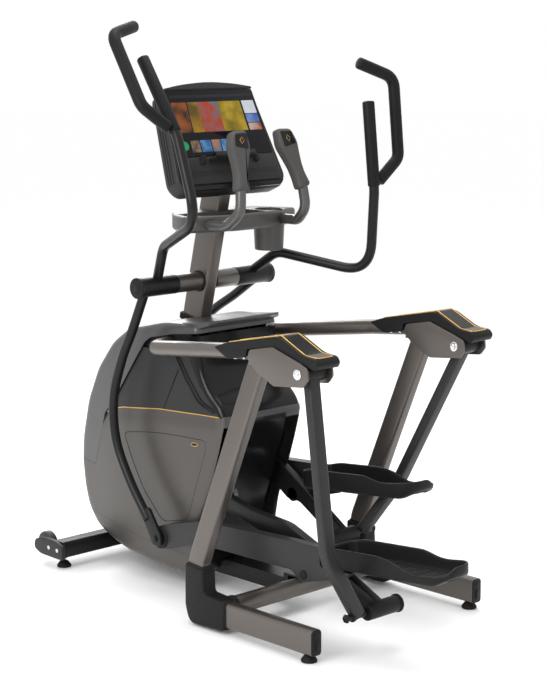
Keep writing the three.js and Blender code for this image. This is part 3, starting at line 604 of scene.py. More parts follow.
# ---------------------------------------------------------------- handrails
# Round tubes that run forward from the shoulders, then turn in to the mast through pockets in the covers.
rail_path = bend([(333, 240, 878), (322, 420, 861), (262, 822, 812, 60), (25.4, 893, 812)], 220, 14)
both("handrail", [sweep(ring_of(24, 40), rail_path)], titanium)


# ---------------------------------------------------------------- swing arms
# Charcoal box tubes that hang from the axle bolts and bend inwards to the pins under the pedals.
swing_foot = joint_point("link_left_pivot")
swing_turn = (swing, pivots["swing_arm_left_pivot"]["range_deg"][1] - 0.01, swing)
arm_paint = finish_of("arm_paint", "charcoal_paint", (0.030, 0.030, 0.031), 0.36, metal=0.3, grain=2000,
                      bump=0.14, mottle=0.2, Specular_IOR_Level=0.25)
arm_path = bend([(339, swing[0], swing[1]), (332, -17, 310, 150), (240, swing_foot[0], swing_foot[1])], 150,
                14)
both("swing_arm", [sweep(rounded_box(43, 32, 7), arm_path, 2)], arm_paint, "swing_SIDE", swing_turn)
barrel = [rod(27, 299, 379, swing, 44, 2.5), rod(22, 296.5, 381.5, swing, 40, 1)]
both("swing_barrel", barrel, moulded_black, "swing_SIDE", swing_turn)
foot_pin = [rod(10, 72, 291, swing_foot, 32, 1.5), rod(15, 258, 268, swing_foot, 32, 2),
            rod(13, 284, 292, swing_foot, 6, 1)]
both("swing_pin", foot_pin, powder_black, "swing_SIDE", swing_turn)


# ---------------------------------------------------------------- links
# Deep black box sections from the swing arms' feet to the crank, with a welded barrel at each pivot.
link_feet = joint_point("link_left_pivot"), joint_point("link_right_pivot")
rise, reach, drive = 17.5, 712, 7.5
barrel_at = joint_point("pedal_left_pivot")
fy, fz = link_feet[0]
by, bz = barrel_at
ey, ez = fy + reach * math.cos(math.radians(rise)), fz + reach * math.sin(math.radians(rise))
link_side = soft([(fy - 24, fz - 8), (fy - 14, fz + 20), (140, 246), (320, 316), (480, 330),
                  (ey + 20, ez + 26), (ey + 30, ez), (ey + 18, ez - 26), (470, 278), (by + 50, bz - 6),
                  (by + 16, bz - 24), (by - 30, bz - 14), (fy + 10, fz - 24)], 18)
link_turn = (link_feet[0], drive, link_feet[1])
both("link", [slab(link_side, 134, 166), rod(26, 131.5, 166, (ey, ez))], powder_black, "link_SIDE", link_turn,
     bevel=5, segments=4)
both("link_barrels", [rod(25, 66, 205, link_feet[0], 44, 3), rod(24, 134, 197, barrel_at, 44, 2.5),
                      rod(28, 68, 76, link_feet[0], 44, 2)], moulded_black, "link_SIDE", link_turn)


# ---------------------------------------------------------------- pedal arms
# Charcoal box sections under the pedals' outer edges, which run forward to the bearing at each handle's foot.
handle = joint_point("handle_left_swing")
handle_angle = pivots["handle_left_swing"]["range_deg"][1]
hy, hz = 830, 185


def spun(p, about, degrees):
    a = math.radians(degrees)
    y, z = p[0] - about[0], p[1] - about[1]
    return about[0] + y * math.cos(a) - z * math.sin(a), about[1] + y * math.sin(a) + z * math.cos(a)


pedal_pins = barrel_at, joint_point("pedal_right_pivot")
handle_feet = (hy, hz), spun((hy, hz), handle, handle_angle)
lean_of = [math.degrees(math.atan2(f[1] - p[1], f[0] - p[0])) for p, f in zip(pedal_pins, handle_feet)]
pedal_turn = (pedal_pins[0], lean_of[1] - lean_of[0], pedal_pins[1])
toe, heel, bottom = 105, -375, 248.5
arm_side = soft([(hy + 38, hz - 6), (hy + 28, hz + 30), (hy - 30, 234), (646, 275, 60), (530, 283, 60),
                 (toe + 4, 300), (toe + 4, 239), (-20, 246), (20, 220), (by - 34, bz - 14),
                 (by + 10, bz - 27), (by + 50, 206), (557, 203, 60), (665, 196, 60), (hy - 42, hz - 30),
                 (hy + 8, hz - 38)], 14)
both("pedal_arm", [slab(arm_side, 200, 236)], arm_paint, "pedal_SIDE", pedal_turn, bevel=5, segments=4)
boss = [rod(36, 194, 241, (hy, hz), 48, 3), rod(9, 152, 210, barrel_at),
        rod(14, 236, 240, barrel_at, 32, 1.2)]
both("pedal_boss", boss, moulded_black, "pedal_SIDE", pedal_turn)


# ---------------------------------------------------------------- pedal trays
# Deep black mouldings with a rolled rim all round, higher towards the middle and lower at the outer heel.
def offset(points, d):
    """A closed outline moved inwards by d, corner by corner."""
    area = sum(a[0] * b[1] - b[0] * a[1] for a, b in zip(points, points[1:] + points[:1]))
    turn_in = 1 if area > 0 else -1
    out = []
    for i, p in enumerate(points):
        u = (Vector(p) - Vector(points[i - 1])).normalized()
        v = (Vector(points[(i + 1) % len(points)]) - Vector(p)).normalized()
        n = Vector((-(u.y + v.y), u.x + v.x))
        n = n.normalized() * turn_in if n.length > 1e-6 else Vector((0, 0))
        out.append((p[0] + n.x * d, p[1] + n.y * d))
    return out


def layered(outline, layers):
    """An X-Y outline piled up in layers, each an inset and a height."""
    return stacked([[(x, y, z) for x, y in offset(outline, inset)] for inset, z in layers])


def thinned(points, least):
    """The outline without points closer than least to the one before."""
    out = [points[0]]
    for p in points[1:]:
        if (Vector(p) - Vector(out[-1])).length >= least:
            out.append(p)
    if (Vector(out[-1]) - Vector(out[0])).length < least:
        out.pop()
    return out


def evened(points, gap, count=round):
    """A closed outline with a point about every gap."""
    out = []
    for i, p in enumerate(points):
        a, b = Vector(p), Vector(points[(i + 1) % len(points)])
        n = max(1, count((b - a).length / gap))
        out += [tuple(a.lerp(b, k / n)) for k in range(n)]
    return out


def ease(t):
    t = max(0.0, min(1.0, t))
    return t * t * (3 - 2 * t)


def rim_height(x, y):
    h = 313 - 8 * ease((y - 40) / 65) - 17 * ease((-170 - y) / 90) + 6 * ease((-270 - y) / 90)
    return h - 20 * ease((x - 175) / 45) * ease((-110 - y) / 140)


def sole(y):
    return bottom + 22 * ease((-320 - y) / 60)


tray_plan = soft([(95, heel, 66), (240, heel, 66), (240, toe, 26), (95, toe, 44)], 0, 12)
tray_plan = evened(tray_plan, 16, math.floor)
rings = []
for inset, up in ((20, 0), (5, 1.5), (1.5, 5), (0.5, 12)):
    rings.append([(x, y, sole(y) + up) for x, y in offset(tray_plan, inset)])
for inset, down in ((0, 6), (0.4, 2), (1.8, 0.3), (4, 0), (6.4, 1.2), (7.6, 4), (8.6, 9)):
    rings.append([(x, y, rim_height(x, y) - down) for x, y in offset(tray_plan, inset)])
for inset, up in ((9.5, 21), (12, 15), (18, 13), (30, 12.6)):
    rings.append([(x, y, bottom + up) for x, y in offset(tray_plan, inset)])


def pitched(shell):
    return turned(shell, ((0, bottom), -4.3, (0, bottom)))


both("pedal_tray", [pitched(stacked(rings))], moulded_black, "pedal_SIDE", pedal_turn, sharp=60)


# ---------------------------------------------------------------- tread mats
# Moulded rubber mats in the trays: a raised border and lengthwise tread bars broken by cross channels.
def tread_tree():
    tree, given = tree_of("tread_bars", (("Rows", "Int", 7), ("Bars", "Int", 9),
                                         ("First", "Vector", (0, 0, 0)), ("Across", "Vector", (12, 0, 0)),
                                         ("Along", "Vector", (0, 40, 0)), ("Bar", "Vector", (5, 30, 2))))
    across = {"Count": given["Rows"], "Start Location": given["First"], "Offset": given["Across"]}
    rows = node(tree, "GeometryNodeMeshLine", feeds=across)
    bars = node(tree, "GeometryNodeMeshLine", feeds={"Count": given["Bars"], "Offset": given["Along"]})
    bar = node(tree, "GeometryNodeMeshCube", feeds={"Size": given["Bar"]})
    return painted(tree, given, set_out(tree, rows, set_out(tree, bars, bar)))


mat_layers = [(0, 13.4), (0, 17.4), (1.2, 18.4), (5, 18.4), (6.2, 17.2)]
mat = layered(thinned(offset(tray_plan, 14), 3), [(inset, bottom + up) for inset, up in mat_layers])
treads = grown(tread_tree(), Rows=8, Bars=9, First=(125.0, -325.0, bottom + 17.0), Across=(12.2, 0.0, 0.0),
               Along=(0.0, 47.0, 0.0), Bar=(6.0, 41.0, 3.0))
both("pedal_mat", [pitched(mat), pitched(treads)], foot_rubber, "pedal_SIDE", pedal_turn, bevel=0.5,
     segments=2, limit=60)


# ---------------------------------------------------------------- mast
# A deep box tube that leans back from the base frame to the console, with the handles' pivot tube across it.
def rods(r, x0, x1, *more):
    """A rod on each side of the middle."""
    return [rod(r, x0, x1, *more), rod(r, -x1, -x0, *more)]


mast_low, mast_high = (1092, 92.3), (800.6, 1335)
mast_line = [(0, mast_low[0], mast_low[1] + 14), (0, mast_high[0] + 2, mast_high[1] - 12)]
mast_shells = [sweep(rounded_box(50, 91.5, 9), mast_line), rod(30, -130, 130, handle, 48, 1),
               rod(18, -286, 286, handle, 32)]
make("mast", mast_shells + rods(33, 282, 290, handle, 48, 2.5), titanium)
caps = rods(34.5, 24.5, 31, handle, 48, 2.5) + rods(33.6, 283, 290.6, handle, 48, 3)
make("pivot_caps", caps + rods(22, 289, 291.4, handle, 40, 0.8), moulded_black)
make("pivot_bolts", rods(11, 290, 292.6, handle, 6, 0.8), powder_black)


# ---------------------------------------------------------------- rocking handles
# Bent black tubes: a sleeve on the pivot tube, a bowed lower tube with a bolted flange, and the upper tube.
handle_turn = (handle, handle_angle, handle)
bow = [(880, 975), (935, 862), (996, 748), (1040, 615), (1030, 478), (962, 352), (872, 240)]
lower_line = curve_through([(250, y, z) for y, z in bow], 10)
flange = soft([(hy - 28, hz + 6), (hy - 20, hz - 22), (hy + 16, hz - 24), (hy + 28, hz), (906, 262),
               (868, 284)], 16)
lower = [sweep(ring_of(15.5, 32), lower_line), rod(31, 130.6, 281.4, handle, 48, 1.5),
         rod(31.7, 268, 272, handle, 48, 1)]
both("handle_lower", lower, powder_black, "handle_SIDE", handle_turn)
both("handle_flange", [slab(flange, 243, 257)], powder_black, "handle_SIDE", handle_turn, bevel=3, segments=4)
both("flange_bolt", [rod(13, 257, 259, (hy, hz), 36, 0.7), rod(9, 258, 264, (hy, hz), 36, 1.8),
                     rod(4.5, 263, 264.6, (hy, hz), 6, 0.3)], powder_black, "handle_SIDE", handle_turn)
upper_line = bend([(203, 872, 1010), (221, 817, 1130, 70), (341, 524, 1238, 95), (321, 632, 1487, 150),
                   (316, 785, 1702)], 60, 12)
branch = [(338, 646, 1511), (423, 676, 1580, 44), (414, 820, 1790, 52), (285, 872, 1815)]
both("handle_upper", [sweep(ring_of(16, 32), upper_line, 1, (0, 0, 1))], powder_black, "handle_SIDE",
     handle_turn)


# ---------------------------------------------------------------- handle grips
# Dense black foam sleeves over the two prongs of each upper handle, with moulded end discs and a fine pebble.
foam = finish_of("grip_foam", "black_rubber", (0.008, 0.008, 0.0085), 0.50, grain=850, bump=0.45, mottle=0.25,
                 Specular_IOR_Level=0.14)
post = [(320.6, 641, 1500), (315, 797, 1719)]
prong = bend([(342, 648, 1514)] + branch[1:], 44, 16)
grips = [sweep(ring_of(19.5, 36), post, 4, (0, 1, 0)), sweep(ring_of(19, 36), prong, 4, (0, 1, 0))]
both("handle_grip", grips, foam, "handle_SIDE", handle_turn)


def beyond(line, by, back=1.0):
    """A short run past a line's end."""
    a, b = Vector(line[-2]), Vector(line[-1])
    d = (b - a).normalized()
    return [b - d * back, b + d * by]


ends = [sweep(ring_of(r, n), beyond(line, by), edge, (0, 1, 0)) for r, n, line, by, edge in (
    (15, 32, post, 1.0, 0.8), (14.5, 32, prong, 0.8, 0.7), (5, 24, post, 1.8, 0.4), (5, 24, prong, 1.6, 0.4))]
both("grip_ends", ends, moulded_black, "handle_SIDE", handle_turn)


# ---------------------------------------------------------------- covers
# One hollow moulded body round the crank and flywheel, rounded at sides and nose, divided along its seams:
# a grey arch over the front, taupe lower sides, charcoal upper sides, a black hood behind, and a skirt below.
cover_side = [(742, 58), (712, 170), (690, 280), (646, 390), (612, 490), (584, 588), (604, 632), (656, 676),
              (692, 740), (706, 806), (712, 888), (880, 880), (1060, 838), (1150, 782), (1244, 684),
              (1312, 565), (1352, 430), (1360, 345), (1344, 250), (1318, 183), (1262, 128), (1180, 100),
              (1069, 76), (912, 64),]
cover_plan = soft([(170, 540), (178, 760), (178, 1080, 140), (138, 1375, 90), (60, 1375)], 40, 10)


def cover_half(y):
    """Half the body's width at a distance y."""
    for a, b in zip(cover_plan, cover_plan[1:]):
        if a[1] <= y <= b[1] and b[1] > a[1]:
            return a[0] + (b[0] - a[0]) * (y - a[1]) / (b[1] - a[1])
    return cover_plan[0][0] if y < cover_plan[0][1] else 60


cover_line = evened(soft([(*p, 26) for p in cover_side], 26, 6), 14)


def rounding(edge, n):
    """The steps of a rounded edge: how far in from the side, and how far short of the face."""
    angles = [math.pi / 2 * k / n for k in range(n + 1)]
    return [(edge * (1 - math.cos(a)), edge * (1 - math.sin(a))) for a in angles]


def body_at(inset, shape=None):
    """The body's closed outer skin, drawn in by an inset; shape(y, z) draws its sides in further."""
    edge, shrinks = 22, 22
    middle_y, middle_z = 960, 450
    line = offset(cover_line, inset)
    right = [[(cover_half(y) - inset - short, y, z) for y, z in offset(line, in_from_edge)]
             for in_from_edge, short in rounding(edge, 5)]
    for k in range(1, shrinks):
        t = 1 - k / shrinks
        ring = [(middle_y + (y - middle_y) * t, middle_z + (z - middle_z) * t) for _, y, z in right[5]]
        right.append([(cover_half(y) - inset - (shape(y, z) if shape else 0), y, z) for y, z in ring])
    left = [[(-x, y, z) for x, y, z in ring] for ring in right]
    return stacked(left[::-1] + right)


def flipped(shell):
    return shell[0], [tuple(f)[::-1] for f in shell[1]]


def outward(shell):
    mesh = mesh_of("solid", shell)
    face_outward(mesh)
    return shell_of(mesh)


def carved(shell, cuts):
    """The shell cut by, kept within or joined to other solids: pairs of an operation and a shell."""
    stock, tools = placed("stock", mesh_of("stock", shell)), []
    for how, tool in cuts:
        tools.append(placed("tool", mesh_of("tool", outward(tool))))
        cut = stock.modifiers.new("cut", "BOOLEAN")
        cut.operation, cut.solver, cut.object = how, "MANIFOLD", tools[-1]
    mesh = applied(stock)
    for thing in (stock, *tools):
        bpy.data.objects.remove(thing)
    return shell_of(mesh)


def less(*shells):
    return [("DIFFERENCE", shell) for shell in shells]


def within(*shells):
    return [("INTERSECT", shell) for shell in shells]


def block(x0, x1, y0, y1, z0, z1):
    return slab([(y0, z0), (y1, z0), (y1, z1), (y0, z1)], x0, x1)


def full(outline):
    return slab(outline, -300, 300)


def seam_height(y):
    """The gold line's height at a distance y."""
    for a, b in zip(top_seam, top_seam[1:]):
        if a[0] <= y <= b[0]:
            return a[1] + (b[1] - a[1]) * (y - a[0]) / (b[0] - a[0])
    return top_seam[0][1] if y < top_seam[0][0] else top_seam[-1][1]


def mast_space(low, high, half_width, above=0):
    """A leaning block round the mast, given by its half depths at the foot and at the head."""
    (y0, z0), (y1, z1) = mast_low, mast_high
    side = [(y0 - low, z0), (y0 + low, z0), (y1 + high, z1 + above), (y1 - high, z1 + above)]
    return slab(side, -half_width, half_width)


top_seam = [(500, 606.5), (540, 604.5), (713, 599), (900, 590), (1095, 567), (1166, 550), (1196, 532)]
arch_inner = [(1400, 350), (1343, 350), (1262, 345), (1196, 532), (1124, 605), (1093, 643), (967, 803),
              (938, 822), (825, 846), (600, 872)]
hood_line = [(400, 607.5), (572, 605.1), (612, 603.1), (700, 690), (742, 760), (756, 846), (600, 863),
             (400, 880)]
skirt_line = [(1500, 180), (1210, 170), (1018, 144), (880, 132), (640, 128)]
mast_room = mast_space(50, 50, 27)
rail_room = sweep(ring_of(27.5, 32), rail_path)
base_gap, rail_gap = block(-150, 150, 800, 1244, 0, 140), block(-52, 52, 300, 1245, 30, 98)
openings = less(rail_room, mirrored(rail_room), mast_room, base_gap, rail_gap)


def hollow_body(inset, shape=None, wall=4):
    outer, inner = outward(body_at(inset, shape)), outward(body_at(inset + wall, shape))
    return carved(merged(outer, flipped(inner)), openings)


moulded_arch = finish_of("moulded_arch", "grey_plastic", (0.056, 0.056, 0.058), 0.32, metal=0.3, grain=1700,
                         bump=0.10, mottle=0.12, Coat_Weight=0.2, Coat_Roughness=0.25)
plain = hollow_body(0)
pocket = [(984, 786), (967, 803.6), (938, 822.8), (825, 846.8), (757, 857), (757, 806), (800, 786)]
arch = [*arch_inner, (600, 1000), (1450, 1000), (1450, 350)]
make("cover_front", [carved(plain, within(full(arch)))], moulded_arch, sharp=40)
visor = soft([(840, 880), (712, 892), (672, 901), (665, 895), (686, 884), (716, 874), (840, 862)], 4)
lip = soft([(-166, 663, 60), (166, 663, 60), (166, 850, 90), (-166, 850, 90)], 0, 10)
lip = layered(lip, [(0, 840), (0, 920)])
make("cover_visor", [carved(outward(slab(visor, -170, 170)), within(lip))], moulded_arch, sharp=30)


# ---------------------------------------------------------------- handrail pockets
# Deep black recesses between the arch and the charcoal sides, where each handrail turns in to the mast.
sunk = hollow_body(13, wall=3)
right_half = block(1, 300, 300, 1500, 0, 1000)
pocket_skin = carved(sunk, within(full(offset(pocket, -9)), right_half))
both("rail_pocket", [pocket_skin], moulded_black, sharp=40)


# ---------------------------------------------------------------- lower side covers
# Taupe sides whose upper band leans in to a gold strip, around a broad inner panel with a thin dark seam.
moulded_taupe = finish_of("moulded_taupe", "taupe_plastic", (0.064, 0.058, 0.053), 0.34, metal=0.45,
                          grain=1900, bump=0.12, mottle=0.12, Coat_Weight=0.2, Coat_Roughness=0.28)


def leaning(y, z):
    return 7 * ease((z - (seam_height(y) - 62)) / 62) ** 2


link_slots = block(-168, 168, 400, 753, 0, 572)
lower = [*[(y, z - 0.6) for y, z in top_seam], (1261, 344), (1342, 349.4), (1500, 349.4),
         *[(y, z + 0.5) for y, z in skirt_line], (500, 128.5)]
panel = soft([(1085, 486), (985, 503), (900, 513), (790, 519), (684, 521, 16), (672, 500, 14), (716, 375),
              (761, 246, 20), (884, 216), (980, 308), (1040, 400)], 26, 5)
leant = hollow_body(0, leaning)
side_skin = carved(leant, less(link_slots) + within(full(lower), right_half) + less(slab(panel, 120, 300)))
both("cover_lower", [side_skin], moulded_taupe, sharp=40)
for name, skin, gap, look in (("cover_panel", hollow_body(0.9, leaning), 2, moulded_taupe),
                              ("panel_seam", hollow_body(3.6, leaning, 1.4), -4, moulded_black)):
    inside_panel = slab(offset(panel, gap), 60, 300)
    both(name, [carved(skin, less(link_slots) + within(inside_panel))], look, sharp=40)
badge_y, badge_z = 728, 500
badge = [(badge_y + 17 * y, badge_z + 6.5 * z - 1.2 * y) for y, z in ring_of(1, 40)]
badge_x = cover_half(badge_y) - 1.5
both("side_badge", [slab(badge, badge_x - 1, badge_x + 1.4)], gold, bevel=0.4)
both("side_badge_face", [slab(offset(badge, 1.8), badge_x, badge_x + 1.8)], gloss_black, bevel=0.3)


# ---------------------------------------------------------------- gold strips
# A thin gold moulding along the seam between the lower and upper sides.
strip_front, strip_rear, steps = 1190, 604, 60
strip = []
for k in range(steps + 1):
    y = strip_front - (strip_front - strip_rear) * k / steps
    strip.append((cover_half(y) - 7.2, y, seam_height(y) + 0.2))
both("gold_strip", [sweep(rounded_box(4.6, 3.4, 1.4, 3), strip, 0.8)], gold)


# ---------------------------------------------------------------- upper side covers
# Charcoal sides set in behind the arch and the gold strip, rising to the handrail pockets.
moulded_charcoal = finish_of("moulded_charcoal", "charcoal_plastic", (0.018, 0.018, 0.019), 0.38,
                             grain=1700, bump=0.16, mottle=0.15, Specular_IOR_Level=0.22)
upper = [*top_seam[:-1], (1194, 534), *[(y - 1, z - 1) for y, z in arch_inner[4:7]], (984, 785), (800, 785),
         (757, 805), (742, 760), (700, 690), (612, 602.6)]
upper = [(y, z) for y, z in upper if y > 606]
upper_skin = carved(hollow_body(6), less(link_slots) + within(full(upper), right_half))
both("cover_upper", [upper_skin], moulded_charcoal, sharp=40)


# ---------------------------------------------------------------- rear hood
# A glossy black hood over the crank's rear, with a spine between the link slots and a grey ledge under it.
hood = carved(plain, within(full(hood_line)))
spine = carved(plain, within(block(-96, 96, 400, 752, 53, 603)))
make("cover_rear", [hood, spine], gloss_black, sharp=40)
ledge = carved(hollow_body(-1.2), within(block(-167, 167, 400, 640, 588, 607)))
make("cover_ledge", [ledge], moulded_arch, sharp=40)
for tag, ahead, down in (("outer", 0, 0), ("inner", 14, 11)):
    corners = [(812, 786), (760, 712 - down * 0.4), (700, 640 - down * 0.5), (632, 616 - down * 0.2)]
    ridge = bend([(173, y + ahead, z) for y, z in corners], 90, 10)
    ridge = [(cover_half(p.y) - 6.6, p.y, p.z) for p in ridge]
    both(f"hood_ridge_{tag}", [sweep(ring_of(4.6, 16), ridge, 3, (0, 1, 0))], moulded_black)


# ---------------------------------------------------------------- skirt
# The taupe pan under the body, closed round the base rail and held by screws along its sides.
rear_notch, below_skirt = block(-168, 168, 400, 790, 0, 200), full([*skirt_line, (640, 0), (1500, 0)])
make("cover_skirt", [carved(plain, less(rear_notch) + within(below_skirt))], moulded_taupe, sharp=40)
pan_screws = [grown(screws, Count=1, First=(cover_half(y) - 5, y, z), Turn=sideways, Head_radius=5.5,
                    Head_height=6.0) for y, z in ((1070.0, 96.0), (910.0, 88.0), (1210.0, 132.0))]
both("skirt_screws", pan_screws, powder_black, bevel=0.3, segments=2)


# ---------------------------------------------------------------- mast gasket
# A rubber gaiter where the mast passes through the top of the body.
foot_y = mast_low[0] - (872 - mast_low[1]) * (mast_low[0] - mast_high[0]) / (mast_high[1] - mast_low[1])
gaiter = [(0, foot_y + 2, 860), (0, foot_y, 874), (0, foot_y - 1, 879)]
mast_core = sweep(rounded_box(50.6, 92.4, 9), mast_line)
make("mast_gasket", [carved(sweep(rounded_box(66, 112, 14), gaiter, 4), less(mast_core))], foot_rubber)


# ---------------------------------------------------------------- works inside the covers
# Base frame, crankset, flywheel and belt, which show only through the link slots and from below.
machined_iron = finish_of("machined_iron", "machined_iron", (0.12, 0.12, 0.125), 0.32, metal=1.0,
                          grain=1300, bump=0.12, mottle=0.15)
for part, look in (("main_frame", powder_black), ("crankset", machined_iron), ("flywheel", machined_iron),
                   ("belt", foot_rubber)):
    mesh = bpy.data.objects[part].data
    mesh.materials.clear()
    mesh.materials.append(look)


# ---------------------------------------------------------------- console housing
# A deep charcoal shell on the mast's head, leaning back, its face a glossy black board under an arched brow.
def on_console(shell):
    """A shell drawn on the console's face, X across it, Y up it and Z out of it, carried to its place."""
    foot_y, foot_z, rise = 715, 1305, math.radians(66.9)
    c, s = math.cos(rise), math.sin(rise)
    return [Vector((x, foot_y + y * c - z * s, foot_z + y * s + z * c)) for x, y, z in shell[0]], shell[1]


def plate(outline, z0, z1, edge=1.0, n=3):
    """An X-Y outline made thick from z0 to z1, with rounded upper edges."""
    return layered(outline, [(0, z0)] + [(inset, z1 - short) for inset, short in rounding(edge, n)])


def double(outline, z0, z1, edge, n=4):
    """The same with both edges rounded."""
    low = [(inset, z0 + short) for inset, short in rounding(edge, n)]
    return layered(outline, low[::-1] + [(inset, z1 - short) for inset, short in rounding(edge, n)])


face = soft([(-232, 34, 18), (-206, 0, 28), (206, 0, 28), (232, 34, 18), (192, 333, 18), (110, 355, 60),
             (0, 363, 60), (-110, 355, 60), (-192, 333, 18)], 10, 6)
face = evened(face, 14)
console_room = mast_space(48.5, 49, 25.4, 1)
housing = carved(outward(on_console(double(face, -70, -1.5, 13))), less(console_room))
make("console_housing", [housing], moulded_grey, sharp=30)
board = offset(face, 5)
make("console_board", [on_console(plate(board, -8, 0.2, 1.4))], gloss_black)
brow = soft([(-189, 337, 4), (189, 337, 4), (187, 345, 10), (112, 357, 60), (0, 365, 60), (-112, 357, 60),
             (-187, 345, 10)], 6, 6)
make("console_brow", [on_console(double(evened(brow, 12), -16, 5.5, 3.5))], moulded_charcoal)
for k, z in enumerate((-24, -36, -48)):
    edge_points = [(x, y, z) for x, y in offset(face, -0.8) if 40 < y < 326]
    for tag, way in (("R", 1), ("L", -1)):
        line = sorted((p for p in edge_points if p[0] * way > 0), key=lambda p: p[1])
        groove = sweep(ring_of(1.5, 8), line, 0.6, (0, 0, 1))
        make(f"console_groove_{k}_{tag}", [on_console(groove)], moulded_black)


# ---------------------------------------------------------------- screen
# A sheet of dark glass that shows a plain home page: a status bar, four broad tiles, a column of three, and a
# row of small tiles beside a round button.
def glow(name, low, high, scale, strength=0.45):
    look, tree, bsdf = shader_of(name, "screen_face")
    picture = blend(tree, spread(tree, noise(tree, scale, 3), 0.38, 0.62), high, {6: (*low, 1)})
    for socket in ("Base Color", "Emission Color"):
        tree.links.new(picture, bsdf.inputs[socket])
    for socket, value in (("Emission Strength", strength), ("Roughness", 0.12), ("Specular IOR Level", 0.12)):
        bsdf.inputs[socket].default_value = value
    return look


def tile(x0, x1, y0, y1):
    """A tile on the glass, given in shares of the screen's half width and of its height."""
    low, high = glass_heights
    shape = [(u * (half_foot - (half_foot - half_head) * v), low + (high - low) * v)
             for u, v in ((x0, y0), (x1, y0), (x1, y1), (x0, y1))]
    return on_console(plate(soft(shape, 2.5, 3), 3.0, 3.75, 0.1, 1))


glass = finish_of("screen_glass", "screen_face", (0.006, 0.006, 0.008), 0.07, grain=300, bump=0.005,
                  mottle=0.1, Specular_IOR_Level=0.15)
half_foot, half_head, glass_heights = 203, 186, (116, 336)
sheet = soft([(-half_foot, 116), (half_foot, 116), (half_head, 336), (-half_head, 336)], 8, 5)
make("screen", [on_console(plate(sheet, 0.3, 3.5, 0.8))], glass)
status_look = glow("status_bar", (0.012, 0.012, 0.015), (0.016, 0.016, 0.02), 6, 0.2)
make("screen_status_bar", [tile(-0.94, 0.94, 0.885, 0.93)], status_look)
picture = [
    ("tile_sunset", (-0.94, -0.60, 0.36, 0.82), (0.150, 0.045, 0.010), (0.015, 0.010, 0.010), 14),
    ("tile_grove", (-0.58, -0.34, 0.36, 0.82), (0.210, 0.110, 0.010), (0.060, 0.040, 0.010), 12),
    ("tile_lake", (-0.34, 0.10, 0.36, 0.82), (0.065, 0.085, 0.100), (0.210, 0.030, 0.015), 16),
    ("tile_meadow", (0.10, 0.62, 0.36, 0.82), (0.100, 0.075, 0.005), (0.240, 0.165, 0.015), 14),
    ("tile_sky", (0.66, 0.94, 0.62, 0.82), (0.275, 0.300, 0.350), (0.400, 0.400, 0.410), 10),
    ("tile_water", (0.66, 0.94, 0.48, 0.61), (0.025, 0.060, 0.210), (0.100, 0.150, 0.300), 20),
    ("tile_earth", (0.66, 0.94, 0.36, 0.47), (0.175, 0.035, 0.020), (0.275, 0.210, 0.170), 20),
    ("tile_small_1", (-0.70, -0.52, 0.06, 0.24), (0.150, 0.090, 0.050), (0.025, 0.025, 0.030), 50),
    ("tile_small_2", (-0.50, -0.28, 0.06, 0.24), (0.020, 0.060, 0.175), (0.050, 0.140, 0.250), 40),
    ("tile_small_3", (-0.26, -0.08, 0.06, 0.24), (0.225, 0.110, 0.050), (0.050, 0.100, 0.170), 40),
    ("tile_small_4", (-0.06, 0.14, 0.06, 0.24), (0.025, 0.080, 0.210), (0.080, 0.180, 0.310), 40),
]
for name, place, low, high, scale in picture:
    make(f"screen_{name}", [tile(*place)], glow(name, low, high, scale))
go_disc = plate([(x - 166, y + 152) for x, y in ring_of(15, 32)], 3.0, 3.8, 0.2, 1)
make("screen_go_button", [on_console(go_disc)], glow("go_button", (0.005, 0.16, 0.05), (0.01, 0.22, 0.08),
                                                     8, 0.5))


# ---------------------------------------------------------------- control panel and device shelf
# A ridged lower panel with a plain chin, and a small ledge with a raised lip for a telephone or tablet.
panel_plate = soft([(-208, 24), (208, 24), (203, 112), (-203, 112)], 10, 5)
ledge = [(-84, 96), (84, 96), (84, 106), (-84, 106)]
raised_lip = [(-84, 96), (84, 96), (84, 116), (-84, 116)]
shelf = [plate(soft(ledge, 3, 4), 3, 46, 1), plate(soft(raised_lip, 3, 4), 40, 46, 1)]
lower_panel = [plate(panel_plate, 0.3, 6, 1.5), *shelf]
make("control_panel", [on_console(shell) for shell in lower_panel], moulded_charcoal)
ribs = [plate([(-196, y), (196, y), (196, y + 2.4), (-196, y + 2.4)], 5, 7.2, 0.6, 2) for y in (52, 58, 64)]
for way in (-1, 1):
    foot, head = way * 116, way * 112
    stop = soft([(foot - 9, 88), (foot + 9, 88), (head + 9, 114), (head - 9, 114)], 4, 3)
    ribs.append(plate(stop, 3, 16, 2))
make("panel_ribs", [on_console(rib) for rib in ribs], moulded_black)
chin = soft([(-214, 21, 6), (-196, 4, 20), (196, 4, 20), (214, 21, 6)], 4, 5)
make("console_chin", [on_console(plate(evened(chin, 14), -4, 7, 2.4, 4))], gloss_black)


# ---------------------------------------------------------------- fixed bars
# Two bent tubes that rise from the tray in front of the console.
bar_paint = finish_of("bar_paint", "bar_paint", (0.085, 0.080, 0.076), 0.34, metal=0.5, grain=2200,
                      bump=0.10, mottle=0.15, Coat_Weight=0.2)
bar_line = bend([(98, 609, 1480), (134, 553, 1318, 140), (142, 545, 1250, 60), (156, 596, 1205, 48),
                 (158, 676, 1205)], 60, 10)
both("fixed_bar", [sweep(ring_of(16.5, 32), bar_line, 1, (0, 1, 0))], bar_paint)


# ---------------------------------------------------------------- fixed grips
# Flat pulse grips in grey-brown rubber, waisted where the palm rests, with a slanted black cap and a diamond.
grip_rubber = finish_of("grip_rubber", "grip_rubber", (0.046, 0.043, 0.040), 0.66, grain=900, bump=0.5,
                        mottle=0.22)
up = Vector((-40, 62, 182)).normalized()
facing = Vector((0, -1, 0.33))
facing = (facing - up * facing.dot(up)).normalized()
wide = up.cross(facing)


def on_grip(shell):
    base = Vector((133.4, 551, 1312))
    return [base + wide * x + up * y + facing * z for x, y, z in shell[0]], shell[1]


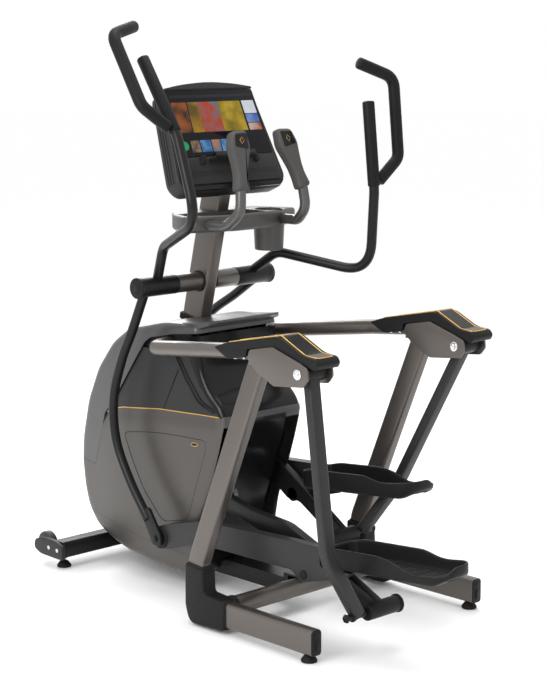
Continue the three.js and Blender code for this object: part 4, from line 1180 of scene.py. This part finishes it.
def waist(points, by):
    return [(x * (1 - by * math.exp(-((y - 52) / 42) ** 2)), y) for x, y in points]


paddle = soft([(-28, 0, 14), (28, 0, 14), (29, 96, 30), (40, 146, 14), (31, 190, 13), (-24, 203, 13),
               (-40, 150, 14), (-29, 98, 30)], 8, 5)
paddle = waist(evened(paddle, 8), 0.26)
bar_room = sweep(ring_of(16.8, 32), bar_line, 1, (0, 1, 0))
both("fixed_grip", [on_grip(double(paddle, -19, 19, 11, 5))], grip_rubber, sharp=35)
cap_plate = soft([(-25, 158, 6), (-27, 140, 6), (27, 140, 6), (25, 180, 6), (-22, 192, 6)], 6, 4)
both("grip_cap", [on_grip(plate(cap_plate, 14, 20.4, 1.2))], gloss_black)
diamond = [(-9, 163), (0, 152), (9, 163), (0, 174)]
both("grip_diamond", [on_grip(plate(diamond, 19, 20.9, 0.2, 1))], gold)
both("grip_diamond_face", [on_grip(plate(offset(diamond, 1.6), 20, 21.3, 0.2, 1))], gloss_black)


# ---------------------------------------------------------------- tray and cup holder
# A faceted taupe tray round the mast with a dark recess on the left and a hanging cup on the right.
dish = [(-66, 640), (66, 640), (238, 692), (234, 718), (196, 802), (134, 874), (-134, 874), (-196, 802),
        (-234, 718), (-238, 692)]
dish_shell = layered(dish, [(9, 1182), (0, 1191), (0, 1225), (1.2, 1229), (5, 1232.6), (9, 1234)])
cup_centre = (140, 712)
cup_outer = lathe([(0, 1102), (42, 1102), (45.4, 1103), (46.4, 1106), (48.4, 1150), (50, 1186), (50, 1192),
                   (0, 1192)], *cup_centre, 56)
cup_bore = lathe([(0, 1107), (41, 1107), (42.4, 1108.5), (45, 1150), (45, 1232), (48, 1235), (48, 1262),
                  (0, 1262)], *cup_centre, 56)
bowl = soft([(-62, 654), (62, 654), (84, 662), (84, 770), (44, 776), (-200, 776), (-216, 710), (-200, 694)],
            8)
bowl = evened(bowl, 16)
bowl_cut = layered(bowl, [(4, 1218), (0, 1222), (0, 1260)])
rooms = less(cup_bore, bowl_cut, console_room, bar_room, mirrored(bar_room))
tray_body = carved(outward(dish_shell), [("UNION", cup_outer), *rooms])
moulded_tray = finish_of("moulded_tray", "taupe_plastic", (0.058, 0.053, 0.049), 0.42, metal=0.2,
                         grain=1700, bump=0.2, mottle=0.14)
make("tray_and_cup", [tray_body], moulded_tray, bevel=0.8, segments=2, sharp=30)
liner = layered(bowl, [(4.6, 1218.2), (5.4, 1219.2)])
make("tray_liner", [carved(outward(liner), less(cup_bore, console_room))], foot_rubber)
